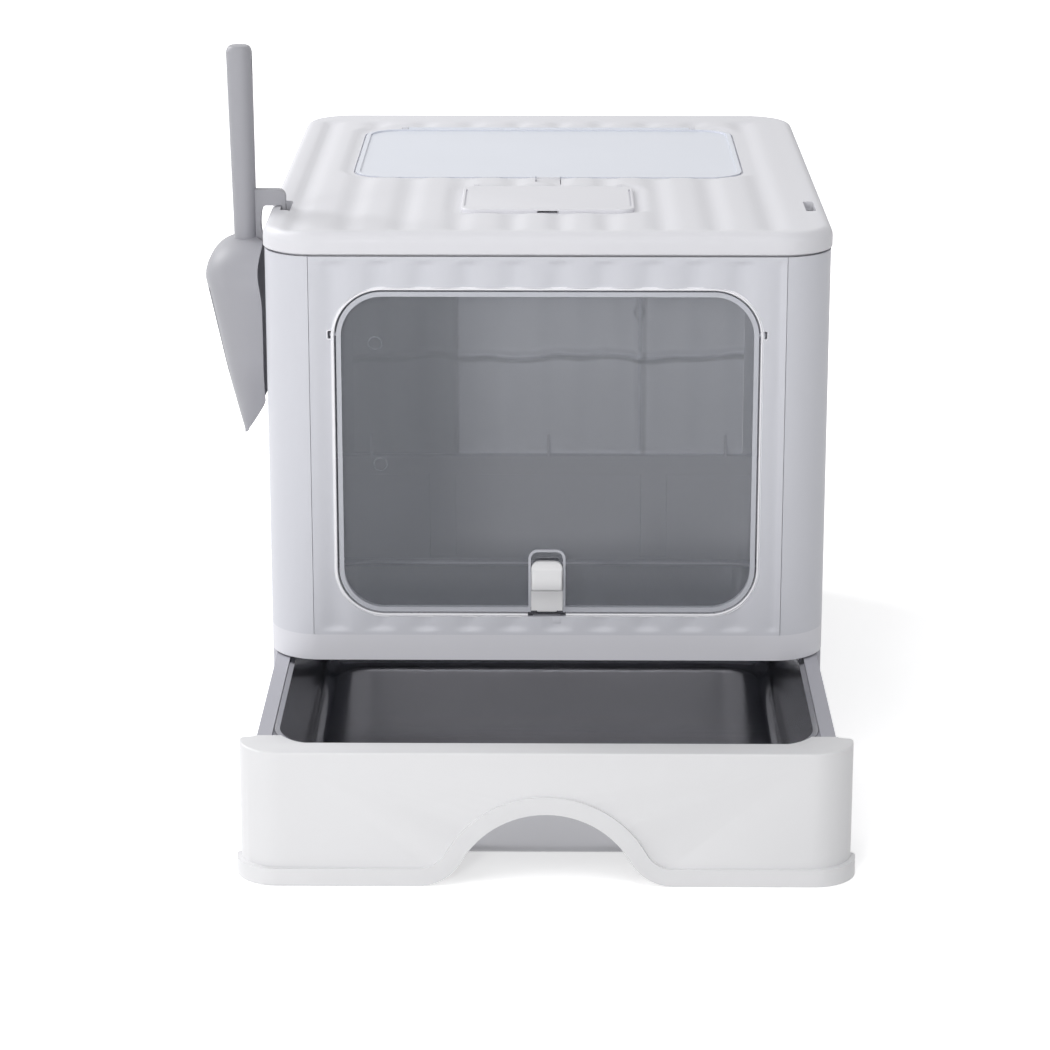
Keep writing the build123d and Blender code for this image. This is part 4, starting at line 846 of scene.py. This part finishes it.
def thumb_plate():
    """Latch slider's front: a plate whose face swells outwards on the way down, as the cubic of
    the share of the way from its top to the thumb ridge, and drops back below the ridge."""
    width, height, radius = SLIDER
    z = np.concatenate([np.linspace(0, 0.38, 16), np.linspace(0.385, 0.47, 14), np.linspace(0.5, 1, 34)])
    z = z * height
    x_share = np.linspace(-1, 1, 31)
    top = np.clip((z - (height - radius)) / radius, 0, 1)
    half = width / 2 - radius * (1 - np.sqrt(1 - (0.999 * top) ** 2))
    ridge = 0.43 * height
    above = np.clip((height - z) / (height - ridge - 3.5), 0, 1)
    below = smooth_step((z - ridge + 1.5) / 3.0)
    swell = (0.3 + 0.7 * smooth_step(above)) * np.clip(above * 3, 0, 1) ** 2 * below
    x = x_share[None, :] * half[:, None]
    round_off = 1 - np.clip((np.abs(x_share) - 0.9) / 0.1, 0, 1)[None, :] ** 2 * 0.35
    y = SLIDER_FACE - SLIDER_THICK - (THUMB_REACH - 0.6) * swell[:, None] * round_off
    level = np.broadcast_to(z[:, None], x.shape) + SLIDER_LOW
    face = np.stack([x, y, level], -1)
    back_face = np.stack([x, np.full_like(x, SLIDER_FACE), level], -1)
    return closed_sheet(face, back_face)


piece("latch_thumb_plate", mesh_of("latch_thumb_plate", *thumb_plate()), "latch_slider", sharp=40)
neck = carried(outline(15.0, 30.0, 2.0, 3), [(0, SLIDER_FACE - 1.0), (0, SLIDER_FACE + 4.2)], upright,
               (0, SLIDER_LOW + 15.6), closed=False)
piece("latch_neck", mesh_of("latch_neck", *neck), "latch_slider")
tongue_profile = soft_profile(SLIDER_FACE - SLIDER_THICK + 0.6, SLIDER_FACE - 0.4, 0.3)
tongue = carried(outline(15.0, 8.0, 1.0, 3), tongue_profile, upright, (0, SLIDER_LOW + 4.0 - 1.2),
                 closed=False)
piece("latch_tongue", mesh_of("latch_tongue", *tongue), "latch_slider")


def mould_rings():
    """Round marks that the mould's pins leave on the clear door: thin low rings."""
    face = (door_low[1] + door_high[1]) / 2 - 1.0
    places = [(-124, 336), (-121, 246), (-97, 137), (-4, 143), (34, 143), (126, 137)]
    turn, turn_normal = outline(9.6, 9.6, 4.799, 8)
    bead = [(-0.35, face - 0.02), (0, face - 0.25), (0.35, face - 0.02)]
    return joined(*[carried((turn, turn_normal), bead, upright, place) for place in places])


marks = mesh_of("door_mould_rings", *mould_rings())
marks.materials.append(door_plastic)
mark_piece = bpy.data.objects.new("door_mould_rings", marks)
bpy.context.scene.collection.objects.link(mark_piece)
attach(mark_piece, "door")


# ---- floor, light and camera -----------------------------------------------------------

def flat_quad(name, points):
    mesh = bpy.data.meshes.new(name)
    mesh.from_pydata(points, [], [(0, 1, 2, 3)])
    thing = bpy.data.objects.new(name, mesh)
    bpy.context.scene.collection.objects.link(thing)
    return thing


def either(tree, one, other):
    """The larger of two values between 0 and 1."""
    node = add(tree, "ShaderNodeMath", {"operation": "MAXIMUM"})
    tree.links.new(one, node.inputs[0])
    tree.links.new(other, node.inputs[1])
    return node.outputs[0]


def plain_rays(tree):
    """1 for the rays that see the background plain: camera, glossy and transmission rays."""
    rays = add(tree, "ShaderNodeLightPath").outputs
    return either(tree, either(tree, rays["Is Camera Ray"], rays["Is Glossy Ray"]),
                  rays["Is Transmission Ray"])


def backdrop_material():
    """Paper that shows plain white to the camera, and to glossy and clear surfaces, and keeps
    the shadow of what stands on it: lit paper plus a glow that only such rays see, stronger
    away from the object."""
    material, tree = new_material("paper_white")
    place = add(tree, "ShaderNodeTexCoord").outputs["Object"]
    reach = add(tree, "ShaderNodeVectorMath", {"operation": "LENGTH"})
    tree.links.new(place, reach.inputs[0])
    glow = add(tree, "ShaderNodeMapRange", {"From Min": 0.45, "From Max": 1.3, "To Min": 0.52, "To Max": 1.0},
               Value=reach.outputs["Value"])
    strength = add(tree, "ShaderNodeMath", {"operation": "MULTIPLY"})
    tree.links.new(glow.outputs["Result"], strength.inputs[0])
    tree.links.new(plain_rays(tree), strength.inputs[1])
    paper = add(tree, "ShaderNodeBsdfDiffuse", {"Color": linear("F4F4F4")})
    light = add(tree, "ShaderNodeEmission", {"Color": (1, 1, 1, 1)}, Strength=strength.outputs[0])
    both = add(tree, "ShaderNodeAddShader")
    tree.links.new(paper.outputs[0], both.inputs[0])
    tree.links.new(light.outputs[0], both.inputs[1])
    add(tree, "ShaderNodeOutputMaterial", Surface=both.outputs[0])
    return material


FLOOR = 6.0
floor = flat_quad("floor", [(-FLOOR, -FLOOR, 0), (FLOOR, -FLOOR, 0), (FLOOR, FLOOR, 0), (-FLOOR, FLOOR, 0)])
floor.data.materials.append(backdrop_material())


def soft_lamp(name, place, aim, size, power):
    lamp = bpy.data.lights.new(name, "AREA")
    lamp.shape = "RECTANGLE"
    lamp.size, lamp.size_y = size
    lamp.energy = power
    thing = bpy.data.objects.new(name, lamp)
    bpy.context.scene.collection.objects.link(thing)
    direction = np.array(aim) - np.array(place)
    thing.location = place
    thing.rotation_euler = Vector(direction).to_track_quat("-Z", "Y").to_euler()
    return thing


soft_lamp("back_left_softbox", (-1.5, 0.9, 1.7), (0, 0, 0.35), (1.0, 1.0), 25)
soft_lamp("left_softbox", (-2.3, -1.3, 0.9), (0, -0.2, 0.25), (0.9, 1.2), 11)
soft_lamp("front_softbox", (-0.5, -2.6, 0.8), (0, -0.2, 0.2), (0.3, 0.3), 13)
soft_lamp("top_softbox", (-0.2, -1.4, 2.3), (0, -0.3, 0.2), (0.9, 0.9), 13)

world = bpy.data.worlds.new("studio")
world.use_nodes = True
tree = world.node_tree
tree.nodes.clear()
dim = add(tree, "ShaderNodeBackground", {"Color": (1, 1, 1, 1), "Strength": 0.44})
bright = add(tree, "ShaderNodeBackground", {"Color": (1, 1, 1, 1), "Strength": 1.0})
mixed = add(tree, "ShaderNodeMixShader")
tree.links.new(plain_rays(tree), mixed.inputs[0])
tree.links.new(dim.outputs[0], mixed.inputs[1])
tree.links.new(bright.outputs[0], mixed.inputs[2])
output = add(tree, "ShaderNodeOutputWorld")
tree.links.new(mixed.outputs[0], output.inputs["Surface"])
bpy.context.scene.world = world
bpy.context.scene.view_settings.view_transform = "Standard"

# The camera that was fitted to the photo's edges.
CAMERA_PLACE = (0.0045, -2.6182, 0.8873)
LOOK_DOWN = 16.23
LOOK_LEFT = 0.50
FOCAL_MM, SENSOR_MM = 115.44, 36.0
lens = bpy.data.cameras.new("camera")
lens.lens = FOCAL_MM
lens.sensor_width = SENSOR_MM
camera = bpy.data.objects.new("camera", lens)
camera.location = CAMERA_PLACE
camera.rotation_euler = (math.radians(90 - LOOK_DOWN), 0, math.radians(LOOK_LEFT))
bpy.context.scene.collection.objects.link(camera)
bpy.context.scene.camera = camera
